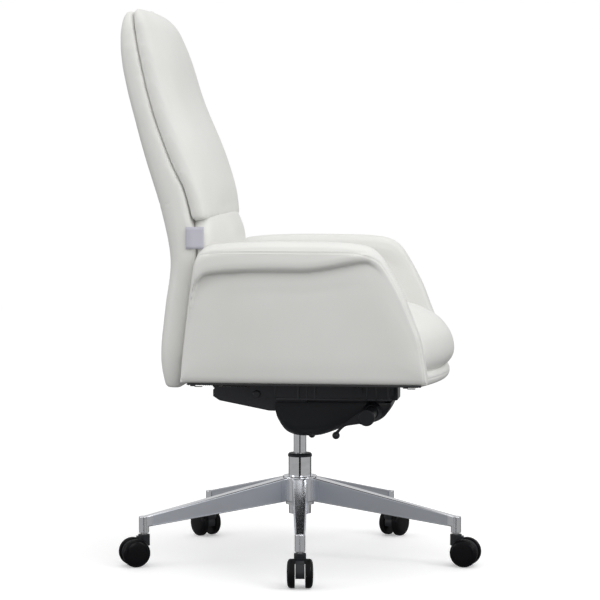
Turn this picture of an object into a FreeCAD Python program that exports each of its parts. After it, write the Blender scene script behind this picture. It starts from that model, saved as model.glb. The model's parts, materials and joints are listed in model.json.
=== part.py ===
"""Swivel office chair: five-star base, gas column, synchro tilt mechanism and upholstered seat.

Millimetres, +Z up. The origin is on the floor, on the axis of the column. The sitter
faces -Y and has +X on their left, so "forward" below means -Y.
"""
import FreeCAD, Part
import math
import os

from FreeCAD import Vector

os.makedirs("parts", exist_ok=True)

X_AXIS, Y_AXIS, Z_AXIS = Vector(1, 0, 0), Vector(0, 1, 0), Vector(0, 0, 1)

# ---------------------------------------------------------------- clearances
RUN_GAP = 0.05          # radial, shaft in its bore
SEAT_GAP = 0.02         # radial, pressed or tapered seats inside one rigid body
SKIN_GAP = 0.3          # between upholstered pieces
SIDE_GAP = 0.6          # between moving plates side by side

# ---------------------------------------------------------------- base
LEG_COUNT = 5
BASE_TURN = 187.0       # direction of the first leg, degrees from +X
BASE_RADIUS = 350.0     # column axis to caster stem
HUB_RADIUS = 38.0
HUB_BOTTOM, HUB_TOP = 124.0, 180.0
HUB_RING_RADIUS, HUB_RING_HEIGHT = 31.0, 6.0
LEG_ROOT_WIDTH, LEG_TIP_WIDTH = 32.0, 19.0
LEG_ROOT_LOW, LEG_ROOT_HIGH = 125.0, 176.0
POST_RADIUS = 11.0
POST_LOW, POST_HIGH = 71.0, 106.0
LEG_TIP_DEPTH = 23.0
LEG_EDGE_ROUND = 2.5
PANEL_DEPTH, PANEL_TOP_RIM, PANEL_LOW_RIM = 1.4, 4.5, 2.0
PANEL_START, PANEL_END = 47.0, 334.0
LEG_WALL, LEG_ROOF = 4.5, 8.0
RIB_STEP, RIB_THICKNESS = 62.0, 4.0

# ---------------------------------------------------------------- casters
WHEEL_RADIUS = 30.0
WHEEL_WIDTH = 17.0
WHEEL_GAP = 20.0        # between the two wheels
WHEEL_EDGE = 2.4
WHEEL_CROWN = 1.5       # how far the outer face bulges
WELL_INNER, WELL_OUTER, WELL_DEPTH = 9.0, 26.0, 5.0
AXLE_GRIP = 10.0        # how deep the axle goes into each wheel
TRAIL = 21.0            # stem axis to axle
CASTER_BODY_RADIUS, CASTER_BODY_LOW = 26.0, 23.0
NECK_RADIUS, NECK_TOP = 12.5, 68.0
STEM_RADIUS, STEM_LOW, STEM_HIGH = 5.5, 44.0, 100.0
AXLE_RADIUS = 4.0

# ---------------------------------------------------------------- gas column
TUBE_RADIUS, TUBE_LOW_RADIUS, TUBE_WALL = 25.0, 24.0, 1.8
TUBE_LOW, TUBE_HIGH = 97.5, 221.5
TUBE_FLOOR = 3.0
CAP_RADIUS, CAP_HEIGHT = 26.2, 7.5
BUSH_LOW = 190.0
CYLINDER_RADIUS, CYLINDER_WALL = 14.0, 2.0
CYLINDER_LOW, CYLINDER_HIGH = 146.0, 342.0
CYLINDER_TOP_RADIUS = 13.0
CYLINDER_ROOF = 6.0
GLAND_HEIGHT = 14.0
ROD_RADIUS, ROD_LOW, ROD_HIGH = 5.0, 91.0, 284.0
PISTON_HEIGHT = 10.0
CLIP_RADIUS, CLIP_HEIGHT = 9.0, 2.5
RACE_RADIUS, RACE_HEIGHT, BALL_RADIUS, BALL_COUNT = 14.0, 2.0, 2.2, 8
BUTTON_RADIUS, BUTTON_HIGH = 4.0, 348.0
LIFT_DOWN = 25.0        # how far the seat can sink from here

# ---------------------------------------------------------------- tilt mechanism, (forward, height)
MAIN_PIVOT = (14.0, 338.0)      # back bracket on the housing
FRONT_PIVOT = (134.0, 372.0)    # seat plate on the housing
LINK_PIN = (-86.0, 362.0)       # seat plate ear on the back bracket
SPRING_BAR = (44.0, 318.0)      # cross bar of the back bracket that loads the tilt spring
SPRING_BAR_RADIUS = 5.0
SPRING_REAR, SPRING_FRONT, SPRING_HEIGHT = 55.5, 108.0, 326.0
SPRING_RADIUS, SPRING_WIRE, SPRING_TURNS = 14.0, 2.6, 8
PIVOT_RADIUS = 5.0
SEAT_TILT = 9.0         # degrees, while the back reclines 20
HOUSING_HALF, HOUSING_WALL = 48.0, 3.0
HOUSING_REAR, HOUSING_FRONT = -45.0, 186.0
HOUSING_LOW = 300.0
BOSS_RADIUS, BOSS_LOW, BOSS_HIGH = 21.0, 277.5, 330.0
BRACKET_INNER, BRACKET_OUTER = 51.0, 58.0
FLANGE_INNER, FLANGE_OUTER = 61.0, 64.0
FLANGE_LOW, PLATE_THICKNESS = 350.0, 3.0
COVER_HALF, COVER_WALL = 69.5, 2.5
COVER_TOP = 346.0
NOSE_HALF, NOSE_FRONT, NOSE_LOW, NOSE_HIGH = 34.0, 216.0, 349.0, 378.0
HEAD_RIM = 3.0                          # how far a pin's head stands out round its shank
COVER_SLOT = 1.5                        # room beside the bracket's arms in the cover
COVER_STATIONS = [(-68, 331, 0.72), (-50, 308, 0.9), (-22, 280, 1), (18, 272, 1), (58, 276, 1), (104, 297, 1),
                  (140, 303, 0.98), (172, 308, 0.92), (194, 322, 0.84), (206, 339, 0.76)]   # forward, low, width

# ---------------------------------------------------------------- levers
LEVER_PIVOT = (163.0, 328.0)
LEVER_HEAD_RADIUS, LEVER_TIP_RADIUS = 17.5, 8.0
LEVER_REACH, LEVER_DROP = 64.0, 38.0    # tip behind and below the pivot
LEVER_ROD_RADIUS = 5.0
LEVER_BARREL_RADIUS = 13.0
LEVER_X = 196.0                         # outer face of the handle
LEVER_THICKNESS = 13.0
CAM_LENGTH = 45.0
LOCK_PIVOT = (96.0, 321.0)
LOCK_REACH, LOCK_DROP = 92.0, 74.0
ACTUATOR_PIVOT = (28.0, 350.0)
ACTUATOR_HALF, ACTUATOR_THICKNESS, ACTUATOR_AXLE = 7.0, 4.0, 2.5
BUSH_WALL = 3.0

# ---------------------------------------------------------------- seat
SEAT_BOTTOM = 398.0
PLY_THICKNESS = 12.0
SEAT_BASE_TOP = 420.0
SEAT_REAR, SEAT_BASE_FRONT = -160.0, 316.0
SEAT_HALF = 243.0
PLATE_REAR, PLATE_FRONT = LINK_PIN[0] - 17, 208.0
WING_PLACES, WING_HALF, WING_REACH = (-40.0, 150.0), 22.0, 120.0    # cross strips of the seat plate
PLATE_BOLT_X = 100.0
BOARD_MARGIN, BOARD_CORNER, BOARD_LIFT = 22.0, 30.0, 3.0
FOOT_WIDTH, ARM_BOLT_X = 58.0, 204.0    # the steel angle that holds each arm
ANGLE_REAR, ANGLE_FRONT, ANGLE_TOP, ANGLE_THICKNESS = -60.0, 120.0, 500.0, 3.0
ARM_BOLT_PLACES = (-30.0, 90.0)
BOLT_HEAD, BOLT_HEAD_HEIGHT, BOLT_SHANK, BOLT_HOLE, BOLT_LENGTH = 6.5, 4.0, 3.0, 3.2, 12.0
CUSHION_REAR = -133.0
CUSHION_OUTLINE = [(312, 0), (329, 28), (329, 52), (318, 80), (290, 106), (238, 125), (140, 131), (-133, 120)]
CORNER_ROUND = 34.0

# ---------------------------------------------------------------- arms
ARM_INNER, ARM_OUTER = 248.0, 300.0
ARM_FRONT_EDGE = [(296, 406), (293, 435), (280, 501), (246, 591), (213, 650)]
ARM_REAR_EDGE = [(-211, 406), (-206, 487), (-193, 578), (-181, 650)]
PAD_INNER, PAD_OUTER = 239.5, 315.0
PAD_OUTLINE = [(-178, 652), (-172, 676), (-150, 690), (-60, 697), (120, 696), (184, 686), (213, 652)]
ARM_FRAME = [(-185, 424), (265, 424), (215, 600), (-170, 600)]

# ---------------------------------------------------------------- back, (forward, height)
BACK_BOTTOM = 388.0
REAR_CURVE = [(-258, BACK_BOTTOM), (-267, 450), (-256, 550), (-243, 655), (-262, 757), (-302, 881),
              (-344, 1030), (-357, 1120), (-354, 1174)]
SEAM_STRAIGHT = [(-222, BACK_BOTTOM), (-189, 660)]
SEAM_CURVE = [(-189, 660), (-199, 734), (-216, 802), (-242, 854), (-286, 968), (-318, 1093), (-338, 1176)]
FRONT_CURVE = [(-164, 436), (-146, 560), (-138, 690), (-153, 775), (-185, 884), (-230, 992), (-262, 1096),
               (-283, 1152), (-322, 1186)]
LUMBAR_SPLIT = 738.0
BACK_HALF = [(388, 226), (470, 236), (700, 236), (900, 224), (1080, 203), (1130, 192)]
BACK_CORNER = 62.0
BACK_TOP = 1190.0
BACK_PLY = 8.0
BACK_PLY_LOW, BACK_PLY_HIGH, BACK_PLY_HALF = 420.0, 1120.0, 170.0
BACK_BOLT_X, BACK_BOLT_HEIGHTS = 36.0, (470.0, 590.0)
BACK_DEPTH, BACK_REACH = 420.0, 260.0   # more than the back's own depth and half width
UPRIGHT_HALF, UPRIGHT_THICKNESS, UPRIGHT_TOP = 55.0, 6.0, 620.0
LABEL_SIZE = (26.0, 46.0, 0.8)
LABEL_HEIGHT = 680.0
LABEL_REAR = -206.0


# ================================================================ helpers
def save(name, *solids):
    """Writes one node: one solid, or a group of separate solids."""
    shape = solids[0] if len(solids) == 1 else Part.makeCompound(list(solids))
    shape.exportStep(f"parts/{name}.step")
    volume = sum(solid.Volume for solid in shape.Solids) / 1000
    print(f"{name}: {len(shape.Solids)} solid(s), {volume:.1f} cm3, valid {shape.isValid()}")


def block(x_low, x_high, rear, front, low, high):
    """A box given by its x range, its forward range and its height range."""
    return Part.makeBox(x_high - x_low, front - rear, high - low, Vector(x_low, -front, low))


def tube(outer, inner, low, high):
    body = Part.makeCylinder(outer, high - low, Vector(0, 0, low))
    return body.cut(Part.makeCylinder(inner, high - low, Vector(0, 0, low)))


def at(x, forward, height):
    return Vector(x, -forward, height)


def pin(radius, x_low, x_high, place):
    """A cylinder along X at a (forward, height) place."""
    return Part.makeCylinder(radius, x_high - x_low, at(x_low, *place), X_AXIS)


def polygon(points):
    return Part.makePolygon(points + points[:1])


def curve(points, x=0.0, shift=0.0):
    """A smooth edge through (forward, height) points, moved forward by shift."""
    spline = Part.BSplineCurve()
    spline.interpolate([at(x, f + shift, h) for f, h in points])
    return spline.toShape()


def line(start, end, x=0.0, shift=0.0):
    return Part.makeLine(at(x, start[0] + shift, start[1]), at(x, end[0] + shift, end[1]))


def side_prism(edges, x_low, x_high):
    """Extrudes a closed side view, drawn at x = 0, from x_low to x_high."""
    face = Part.Face(Part.Wire(Part.sortEdges(edges)[0]))
    solid = face.extrude(Vector(x_high - x_low, 0, 0))
    solid.translate(Vector(x_low, 0, 0))
    return solid


def side_polygon(points, x_low, x_high):
    """Extrudes a straight-sided side view of (forward, height) points."""
    face = Part.Face(polygon([at(x_low, f, h) for f, h in points]))
    return face.extrude(Vector(x_high - x_low, 0, 0))


def mirrored(solid):
    return solid.mirror(Vector(0, 0, 0), X_AXIS)


def edges_where(solid, test):
    return [edge for edge in solid.Edges if test(edge)]


def along(edge, direction):
    start, end = edge.Vertexes[0].Point, edge.Vertexes[-1].Point
    run = end.sub(start)
    return run.Length > 0 and abs(run.normalize().dot(direction)) > 0.999


def fuse_all(solids):
    return solids[0].multiFuse(solids[1:]).removeSplitter()


# ================================================================ base
def leg_section(radius, half_width, low, high):
    """A rectangle across a leg that runs along +X."""
    return polygon([Vector(radius, -half_width, low), Vector(radius, half_width, low),
                    Vector(radius, half_width, high), Vector(radius, -half_width, high)])


def leg_line(radius, root, tip):
    """The value at a radius of something that changes evenly from the hub to the post."""
    return root + (tip - root) * (radius - HUB_RADIUS) / (BASE_RADIUS - HUB_RADIUS)


def leg_loft(start, end, inset, low_inset, high_inset):
    """A tapering bar inside the leg's own taper, from one radius to another."""
    sections = []
    for radius in (start, end):
        half = leg_line(radius, LEG_ROOT_WIDTH, LEG_TIP_WIDTH) / 2 - inset
        low = leg_line(radius, LEG_ROOT_LOW, POST_HIGH - LEG_TIP_DEPTH) + low_inset
        high = leg_line(radius, LEG_ROOT_HIGH, POST_HIGH) - high_inset
        sections.append(leg_section(radius, half, low, high))
    return Part.makeLoft(sections, True, True)


def make_leg():
    bar = leg_loft(HUB_RADIUS - 14, BASE_RADIUS, 0, 0, 0)
    long_edges = edges_where(bar, lambda edge: edge.Length > BASE_RADIUS / 2)
    bar = bar.makeFillet(LEG_EDGE_ROUND, long_edges)
    for side in (-1, 1):
        panel = leg_loft(PANEL_START, PANEL_END, 0, PANEL_LOW_RIM, PANEL_TOP_RIM)
        core = leg_loft(PANEL_START, PANEL_END, PANEL_DEPTH, -5, -5)
        half = Part.makeBox(BASE_RADIUS, BASE_RADIUS, BASE_RADIUS,
                            Vector(0, 0 if side > 0 else -BASE_RADIUS, 0))
        wide = leg_loft(PANEL_START, PANEL_END, -5, PANEL_LOW_RIM, PANEL_TOP_RIM)
        bar = bar.cut(panel.fuse(wide).cut(core).common(half))
    pocket = leg_loft(PANEL_START, PANEL_END - 12, LEG_WALL + PANEL_DEPTH, -5, LEG_ROOF)
    rib_at = PANEL_START + RIB_STEP
    while rib_at < PANEL_END - 12:
        rib = Part.makeBox(RIB_THICKNESS, LEG_ROOT_WIDTH, HUB_TOP, Vector(rib_at, -LEG_ROOT_WIDTH / 2, 0))
        pocket = pocket.cut(rib)
        rib_at += RIB_STEP
    bar = bar.cut(pocket)
    post = Part.makeCylinder(POST_RADIUS, POST_HIGH - POST_LOW, Vector(BASE_RADIUS, 0, POST_LOW))
    post = post.makeFillet(1.2, edges_where(post, lambda edge: edge.Length > POST_RADIUS * 5))
    socket = Part.makeCylinder(STEM_RADIUS + SEAT_GAP, STEM_HIGH + 1 - POST_LOW,
                               Vector(BASE_RADIUS, 0, POST_LOW))
    return bar.fuse(post).cut(socket)


def tube_radius_at(height):
    """The column tube tapers below the hub's top."""
    if height >= HUB_TOP:
        return TUBE_RADIUS
    share = (height - TUBE_LOW) / (HUB_TOP - TUBE_LOW)
    return TUBE_LOW_RADIUS + (TUBE_RADIUS - TUBE_LOW_RADIUS) * share


def make_base():
    hub = Part.makeCylinder(HUB_RADIUS, HUB_TOP - HUB_BOTTOM, Vector(0, 0, HUB_BOTTOM))
    hub = hub.makeFillet(3.0, edges_where(hub, lambda edge: edge.Length > HUB_RADIUS * 5))
    ring_low = HUB_BOTTOM - HUB_RING_HEIGHT
    ring = Part.makeCylinder(HUB_RING_RADIUS, HUB_RING_HEIGHT + 1, Vector(0, 0, ring_low))
    leg = make_leg()
    legs = []
    for index in range(LEG_COUNT):
        copy = leg.copy()
        copy.rotate(Vector(0, 0, 0), Z_AXIS, BASE_TURN + index * 360 / LEG_COUNT)
        legs.append(copy)
    star = fuse_all([hub, ring] + legs)
    bore_low, bore_high = ring_low - 1, HUB_TOP + 1
    bore = Part.makeCone(tube_radius_at(bore_low) + SEAT_GAP, TUBE_RADIUS + SEAT_GAP,
                         HUB_TOP - bore_low, Vector(0, 0, bore_low))
    mouth = Part.makeCylinder(TUBE_RADIUS + SEAT_GAP, bore_high - HUB_TOP + 0.01,
                              Vector(0, 0, HUB_TOP - 0.01))
    return star.cut(bore).cut(mouth)


# ================================================================ casters, trailing along +X
def make_wheel():
    """One of the twin wheels, on +Y, turning about the axle."""
    inner, outer = WHEEL_GAP / 2, WHEEL_GAP / 2 + WHEEL_WIDTH

    def disc(radius, low, high):
        return Part.makeCylinder(radius, high - low, Vector(TRAIL, low, WHEEL_RADIUS), Y_AXIS)

    dome_radius = (WHEEL_RADIUS ** 2 + WHEEL_CROWN ** 2) / (2 * WHEEL_CROWN)
    dome = Part.makeSphere(dome_radius, Vector(TRAIL, outer - dome_radius, WHEEL_RADIUS))
    wheel = disc(WHEEL_RADIUS, inner, outer).common(dome)
    rim = edges_where(wheel, lambda edge: edge.Length > WHEEL_RADIUS * 6 and edge.BoundBox.YMin > inner + 1)
    wheel = wheel.makeFillet(WHEEL_EDGE, rim)
    well = disc(WELL_OUTER, inner, inner + WELL_DEPTH).cut(disc(WELL_INNER, inner, inner + WELL_DEPTH))
    return wheel.cut(well).cut(disc(AXLE_RADIUS + SEAT_GAP, inner - 1, inner + AXLE_GRIP))


def make_caster_body():
    half = WHEEL_GAP / 2 - SIDE_GAP
    disc = Part.makeCylinder(CASTER_BODY_RADIUS, 2 * half, Vector(TRAIL, -half, WHEEL_RADIUS), Y_AXIS)
    disc = disc.cut(Part.makeBox(200, 200, CASTER_BODY_LOW, Vector(-100, -100, 0)))
    neck = Part.makeCylinder(NECK_RADIUS, NECK_TOP - 44, Vector(0, 0, 44))
    neck = neck.makeFillet(1.5, [edge for edge in neck.Edges
                                 if edge.Length > NECK_RADIUS * 5 and edge.BoundBox.ZMin > 60])
    # the wheels pass close by the neck, so it is narrowed to the body's width beside them
    sweep = Part.makeCylinder(WHEEL_RADIUS + 1.2, 200, Vector(TRAIL, half, WHEEL_RADIUS), Y_AXIS)
    other = Part.makeCylinder(WHEEL_RADIUS + 1.2, 200, Vector(TRAIL, -200 - half, WHEEL_RADIUS), Y_AXIS)
    neck = neck.cut(sweep).cut(other)
    web = Part.makeBox(TRAIL, 2 * half, NECK_TOP - 44, Vector(-6, -half, 40))
    body = fuse_all([disc, web, neck])
    stem = Part.makeCylinder(STEM_RADIUS + RUN_GAP, NECK_TOP, Vector(0, 0, STEM_LOW - 0.3))
    axle = Part.makeCylinder(AXLE_RADIUS + RUN_GAP, 200, Vector(TRAIL, -100, WHEEL_RADIUS), Y_AXIS)
    return body.cut(stem).cut(axle)


def make_casters():
    wheel = make_wheel()
    other_wheel = wheel.mirror(Vector(0, 0, 0), Y_AXIS)
    axle_half = WHEEL_GAP / 2 + AXLE_GRIP - 0.5
    axle = Part.makeCylinder(AXLE_RADIUS, 2 * axle_half, Vector(TRAIL, -axle_half, WHEEL_RADIUS), Y_AXIS)
    stem = Part.makeCylinder(STEM_RADIUS, STEM_HIGH - STEM_LOW, Vector(0, 0, STEM_LOW))
    pieces = {"stem": [stem], "body": [make_caster_body()], "wheels": [wheel, other_wheel, axle]}
    for index in range(LEG_COUNT):
        turn = BASE_TURN + index * 360 / LEG_COUNT
        for name, solids in pieces.items():
            placed = [solid.copy() for solid in solids]
            for solid in placed:
                solid.translate(Vector(BASE_RADIUS, 0, 0))
                solid.rotate(Vector(0, 0, 0), Z_AXIS, turn)
            save(f"caster_{name}_{index + 1}", *placed)


# ================================================================ gas column
def revolved(profile):
    """Turns (radius, height) points about the column's axis."""
    face = Part.Face(polygon([Vector(radius, 0, height) for radius, height in profile]))
    return face.revolve(Vector(0, 0, 0), Z_AXIS, 360)


def make_column():
    floor_top = TUBE_LOW + TUBE_FLOOR
    rod_hole = ROD_RADIUS + RUN_GAP
    column_tube = revolved([
        (rod_hole, TUBE_LOW), (TUBE_LOW_RADIUS, TUBE_LOW), (TUBE_RADIUS, HUB_TOP), (TUBE_RADIUS, TUBE_HIGH),
        (TUBE_RADIUS - TUBE_WALL, TUBE_HIGH), (TUBE_RADIUS - TUBE_WALL, HUB_TOP),
        (TUBE_LOW_RADIUS - TUBE_WALL, floor_top), (rod_hole, floor_top)])
    save("column_tube", column_tube)

    bore = CYLINDER_RADIUS + RUN_GAP
    spigot = TUBE_RADIUS - TUBE_WALL - SEAT_GAP
    cap_high = TUBE_HIGH + CAP_HEIGHT
    cap = revolved([(bore, BUSH_LOW), (spigot, BUSH_LOW), (spigot, TUBE_HIGH), (CAP_RADIUS, TUBE_HIGH),
                    (CAP_RADIUS, cap_high - 3), (CAP_RADIUS - 2.5, cap_high), (bore, cap_high)])
    save("guide_bush", cap)

    race_hole = ROD_RADIUS + RUN_GAP
    save("thrust_race_lower", tube(RACE_RADIUS, race_hole, floor_top, floor_top + RACE_HEIGHT))
    ball_height = floor_top + RACE_HEIGHT + BALL_RADIUS
    track = (RACE_RADIUS + race_hole) / 2
    balls = []
    for index in range(BALL_COUNT):
        angle = 2 * math.pi * index / BALL_COUNT
        balls.append(Part.makeSphere(BALL_RADIUS - SEAT_GAP,
                                     Vector(track * math.cos(angle), track * math.sin(angle), ball_height)))
    save("thrust_balls", *balls)
    upper_low = ball_height + BALL_RADIUS
    save("thrust_race_upper", tube(RACE_RADIUS, ROD_RADIUS + SEAT_GAP, upper_low, upper_low + RACE_HEIGHT))

    rod = Part.makeCylinder(ROD_RADIUS, ROD_HIGH - ROD_LOW, Vector(0, 0, ROD_LOW))
    shoulder_low = upper_low + RACE_HEIGHT
    shoulder = Part.makeCylinder(ROD_RADIUS + 2, 3, Vector(0, 0, shoulder_low))
    piston_radius = CYLINDER_RADIUS - CYLINDER_WALL - RUN_GAP
    piston = Part.makeCylinder(piston_radius, PISTON_HEIGHT, Vector(0, 0, ROD_HIGH - PISTON_HEIGHT))
    save("piston_rod", fuse_all([rod, shoulder, piston]))
    clip_high = TUBE_LOW - 0.3
    save("rod_clip", tube(CLIP_RADIUS, ROD_RADIUS + SEAT_GAP, clip_high - CLIP_HEIGHT, clip_high))

    inner = CYLINDER_RADIUS - CYLINDER_WALL
    roof_low = CYLINDER_HIGH - CYLINDER_ROOF
    hole = BUTTON_RADIUS + RUN_GAP
    cylinder = revolved([
        (inner, CYLINDER_LOW), (CYLINDER_RADIUS, CYLINDER_LOW), (CYLINDER_RADIUS, BOSS_LOW),
        (CYLINDER_TOP_RADIUS, BOSS_HIGH), (CYLINDER_TOP_RADIUS, CYLINDER_HIGH), (hole, CYLINDER_HIGH),
        (hole, roof_low), (CYLINDER_TOP_RADIUS - CYLINDER_WALL, roof_low),
        (CYLINDER_TOP_RADIUS - CYLINDER_WALL, BOSS_HIGH - 10), (inner, ROD_HIGH + LIFT_DOWN + 3),
        ])
    save("gas_cylinder", cylinder)
    save("cylinder_gland", tube(inner - SEAT_GAP, ROD_RADIUS + RUN_GAP, CYLINDER_LOW,
                                CYLINDER_LOW + GLAND_HEIGHT))
    button_low = roof_low - 3.5
    button = Part.makeCylinder(BUTTON_RADIUS, BUTTON_HIGH - button_low, Vector(0, 0, button_low))
    collar = Part.makeCylinder(BUTTON_RADIUS + 2, 2.5, Vector(0, 0, button_low - 2.5))
    save("valve_button", fuse_all([button, collar]))


# ================================================================ tilt mechanism
def tilt_line(forward, height):
    """How low a flat face at this height comes, at this place, when the seat tilts back."""
    return height - (FRONT_PIVOT[0] - forward) * math.tan(math.radians(SEAT_TILT))


def make_housing():
    top_front = SEAT_BOTTOM - PLATE_THICKNESS - 1.5
    top_rear = tilt_line(HOUSING_REAR, top_front)
    outline = [(HOUSING_REAR, HOUSING_LOW + 14), (HOUSING_REAR + 22, HOUSING_LOW), (98, HOUSING_LOW),
               (124, HOUSING_LOW + 10), (HOUSING_FRONT - 18, HOUSING_LOW + 13), (HOUSING_FRONT, HOUSING_LOW + 32),
               (HOUSING_FRONT, top_front - 9), (FRONT_PIVOT[0] + 12, top_front),
               (FRONT_PIVOT[0], top_front), (HOUSING_REAR, top_rear)]
    shell = side_polygon(outline, -HOUSING_HALF, HOUSING_HALF)
    inside = [(HOUSING_REAR + 3, HOUSING_LOW + 15.5), (HOUSING_REAR + 23, HOUSING_LOW + 3),
              (97, HOUSING_LOW + 3), (123, HOUSING_LOW + 13), (HOUSING_FRONT - 19, HOUSING_LOW + 16),
              (HOUSING_FRONT - 3, HOUSING_LOW + 33.5), (HOUSING_FRONT - 3, 420), (HOUSING_REAR + 3, 420)]
    hollow = side_polygon(inside, HOUSING_WALL - HOUSING_HALF, HOUSING_HALF - HOUSING_WALL)
    shell = shell.cut(hollow)
    boss = Part.makeCylinder(BOSS_RADIUS, BOSS_HIGH - BOSS_LOW, Vector(0, 0, BOSS_LOW))
    rib = block(-2.5, 2.5, BOSS_RADIUS - 4, 34, HOUSING_LOW, BOSS_HIGH - 8)
    seat = block(-20, 20, SPRING_FRONT, SPRING_FRONT + 4, HOUSING_LOW + 5, SPRING_HEIGHT + 12)
    spigot_radius = SPRING_RADIUS - SPRING_WIRE - SKIN_GAP
    spigot = Part.makeCylinder(spigot_radius, 12, at(0, SPRING_FRONT + 1, SPRING_HEIGHT), Y_AXIS)
    nose = block(-NOSE_HALF, NOSE_HALF, HOUSING_FRONT - 1, NOSE_FRONT, NOSE_LOW, NOSE_HIGH)
    nose = nose.makeFillet(3, edges_where(nose, lambda edge: along(edge, X_AXIS)))
    shell = fuse_all([shell, boss, rib, seat, spigot, nose])
    taper = Part.makeCone(CYLINDER_RADIUS + SEAT_GAP, CYLINDER_TOP_RADIUS + SEAT_GAP, BOSS_HIGH - BOSS_LOW,
                          Vector(0, 0, BOSS_LOW))
    shell = shell.cut(taper)
    wide = HOUSING_HALF + 5
    for place, radius in ((MAIN_PIVOT, PIVOT_RADIUS), (FRONT_PIVOT, PIVOT_RADIUS),
                          (LEVER_PIVOT, LEVER_ROD_RADIUS + BUSH_WALL), (LOCK_PIVOT, LEVER_ROD_RADIUS + BUSH_WALL)):
        shell = shell.cut(pin(radius + SEAT_GAP, -wide, wide, place))
    bar_f, bar_h = SPRING_BAR
    slot = [(bar_f - 8, bar_h - 8), (bar_f + 9, bar_h - 8), (bar_f + 14, bar_h + 20), (bar_f - 6, bar_h + 20)]
    shell = shell.cut(side_polygon(slot, -wide, wide))
    for side in (-1, 1):
        lug_x = side * 12
        lug = block(lug_x - 2, lug_x + 2, ACTUATOR_PIVOT[0] - 6, ACTUATOR_PIVOT[0] + 6, HOUSING_LOW + 2,
                    ACTUATOR_PIVOT[1] + 5)
        shell = shell.fuse(lug)
    return shell.cut(pin(ACTUATOR_AXLE + RUN_GAP, -20, 20, ACTUATOR_PIVOT)).removeSplitter()


def cover_section(forward, half, low, high, corner):
    """A U-shaped outline across the cover, with rounded lower corners."""
    bend = corner * (1 - math.sqrt(0.5))

    def spot(x, height):
        return Vector(x, -forward, height)

    return Part.Wire([
        Part.makeLine(spot(-half, high), spot(-half, low + corner)),
        Part.Arc(spot(-half, low + corner), spot(-half + bend, low + bend), spot(-half + corner, low)).toShape(),
        Part.makeLine(spot(-half + corner, low), spot(half - corner, low)),
        Part.Arc(spot(half - corner, low), spot(half - bend, low + bend), spot(half, low + corner)).toShape(),
        Part.makeLine(spot(half, low + corner), spot(half, high)),
        Part.makeLine(spot(half, high), spot(-half, high)),
    ])


def cover_loft(inset):
    sections = []
    for forward, low, share in COVER_STATIONS:
        half = COVER_HALF * (0.72 + 0.28 * share) - inset
        corner = min(26.0, (COVER_TOP - low) * 0.6)
        sections.append(cover_section(forward, half, low + inset, COVER_TOP + (20 if inset else 0), corner))
    return Part.makeLoft(sections, True, True)


def make_cover():
    ends = block(-COVER_HALF, COVER_HALF, COVER_STATIONS[0][0] + COVER_WALL,
                 COVER_STATIONS[-1][0] - COVER_WALL, BOSS_LOW - 20, COVER_TOP + 30)
    cover = cover_loft(0).cut(cover_loft(COVER_WALL).common(ends))
    cover = cover.cut(Part.makeCylinder(BOSS_RADIUS + 1, 80, Vector(0, 0, 240)))
    for place in (LEVER_PIVOT, LOCK_PIVOT):
        cover = cover.cut(pin(LEVER_BARREL_RADIUS + 1, -90, 90, place))
    # the back bracket's arms leave through the rear wall and swing down through two slots
    cover = cover.cut(block(-BRACKET_OUTER - 2, BRACKET_OUTER + 2, -80, -61, 250, COVER_TOP + 30))
    for side in (-1, 1):
        x_low, x_high = sorted((side * (BRACKET_INNER - COVER_SLOT), side * (BRACKET_OUTER + COVER_SLOT)))
        cover = cover.cut(block(x_low, x_high, -80, -8, 250, COVER_TOP + 30))
    # the seat plate's flanges sink behind the rear wall as the seat tilts
    wide = FLANGE_OUTER + 3
    return cover.cut(block(-wide, wide, -80, -46, 320, COVER_TOP + 30))


def make_tilt_spring():
    """The tilt spring, wound about a line along Y ahead of the column."""
    start, end = SPRING_REAR + SPRING_WIRE, SPRING_FRONT - SPRING_WIRE - 1
    helix = Part.makeHelix((end - start) / SPRING_TURNS, end - start, SPRING_RADIUS)
    section = Part.Wire(Part.Circle(Vector(SPRING_RADIUS, 0, 0), Y_AXIS, SPRING_WIRE).toShape())
    coil = Part.Wire(helix).makePipeShell([section], True, True)
    coil.rotate(Vector(0, 0, 0), X_AXIS, 90)
    coil.translate(Vector(0, -start, SPRING_HEIGHT))
    return coil


def make_mechanism():
    save("mechanism_housing", make_housing())
    save("mechanism_cover", make_cover())
    shank, head = PIVOT_RADIUS, PIVOT_RADIUS + HEAD_RIM
    front = [pin(shank, -FLANGE_OUTER - 4, FLANGE_OUTER + 4, FRONT_PIVOT)]
    for x in (-FLANGE_OUTER - 6, FLANGE_OUTER + 0.3):
        front.append(pin(head, x, x + 5.7, FRONT_PIVOT))
    save("front_pivot_pin", fuse_all(front))
    mains = []
    for side in (-1, 1):
        x_low, x_high = HOUSING_HALF - HOUSING_WALL - 8, BRACKET_OUTER + 2.4
        main = pin(shank, x_low, x_high, MAIN_PIVOT)
        main = main.fuse(pin(head, x_low, HOUSING_HALF - HOUSING_WALL - 0.1, MAIN_PIVOT)).removeSplitter()
        mains.append(main if side > 0 else mirrored(main))
    save("main_pivot_pins", *mains)
    save("tilt_spring", make_tilt_spring())
    bushes = []
    for place, side in ((LEVER_PIVOT, -1), (LOCK_PIVOT, 1)):
        outer = LEVER_ROD_RADIUS + BUSH_WALL
        bush = pin(outer, HOUSING_HALF - HOUSING_WALL - 6, HOUSING_HALF + 1.5, place)
        flange = pin(outer + 2, HOUSING_HALF - HOUSING_WALL - 6, HOUSING_HALF - HOUSING_WALL - 0.1, place)
        bush = bush.fuse(flange).cut(pin(LEVER_ROD_RADIUS + RUN_GAP, 0, 90, place))
        bushes.append(bush if side > 0 else mirrored(bush))
    save("lever_bushes", *bushes)


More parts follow.
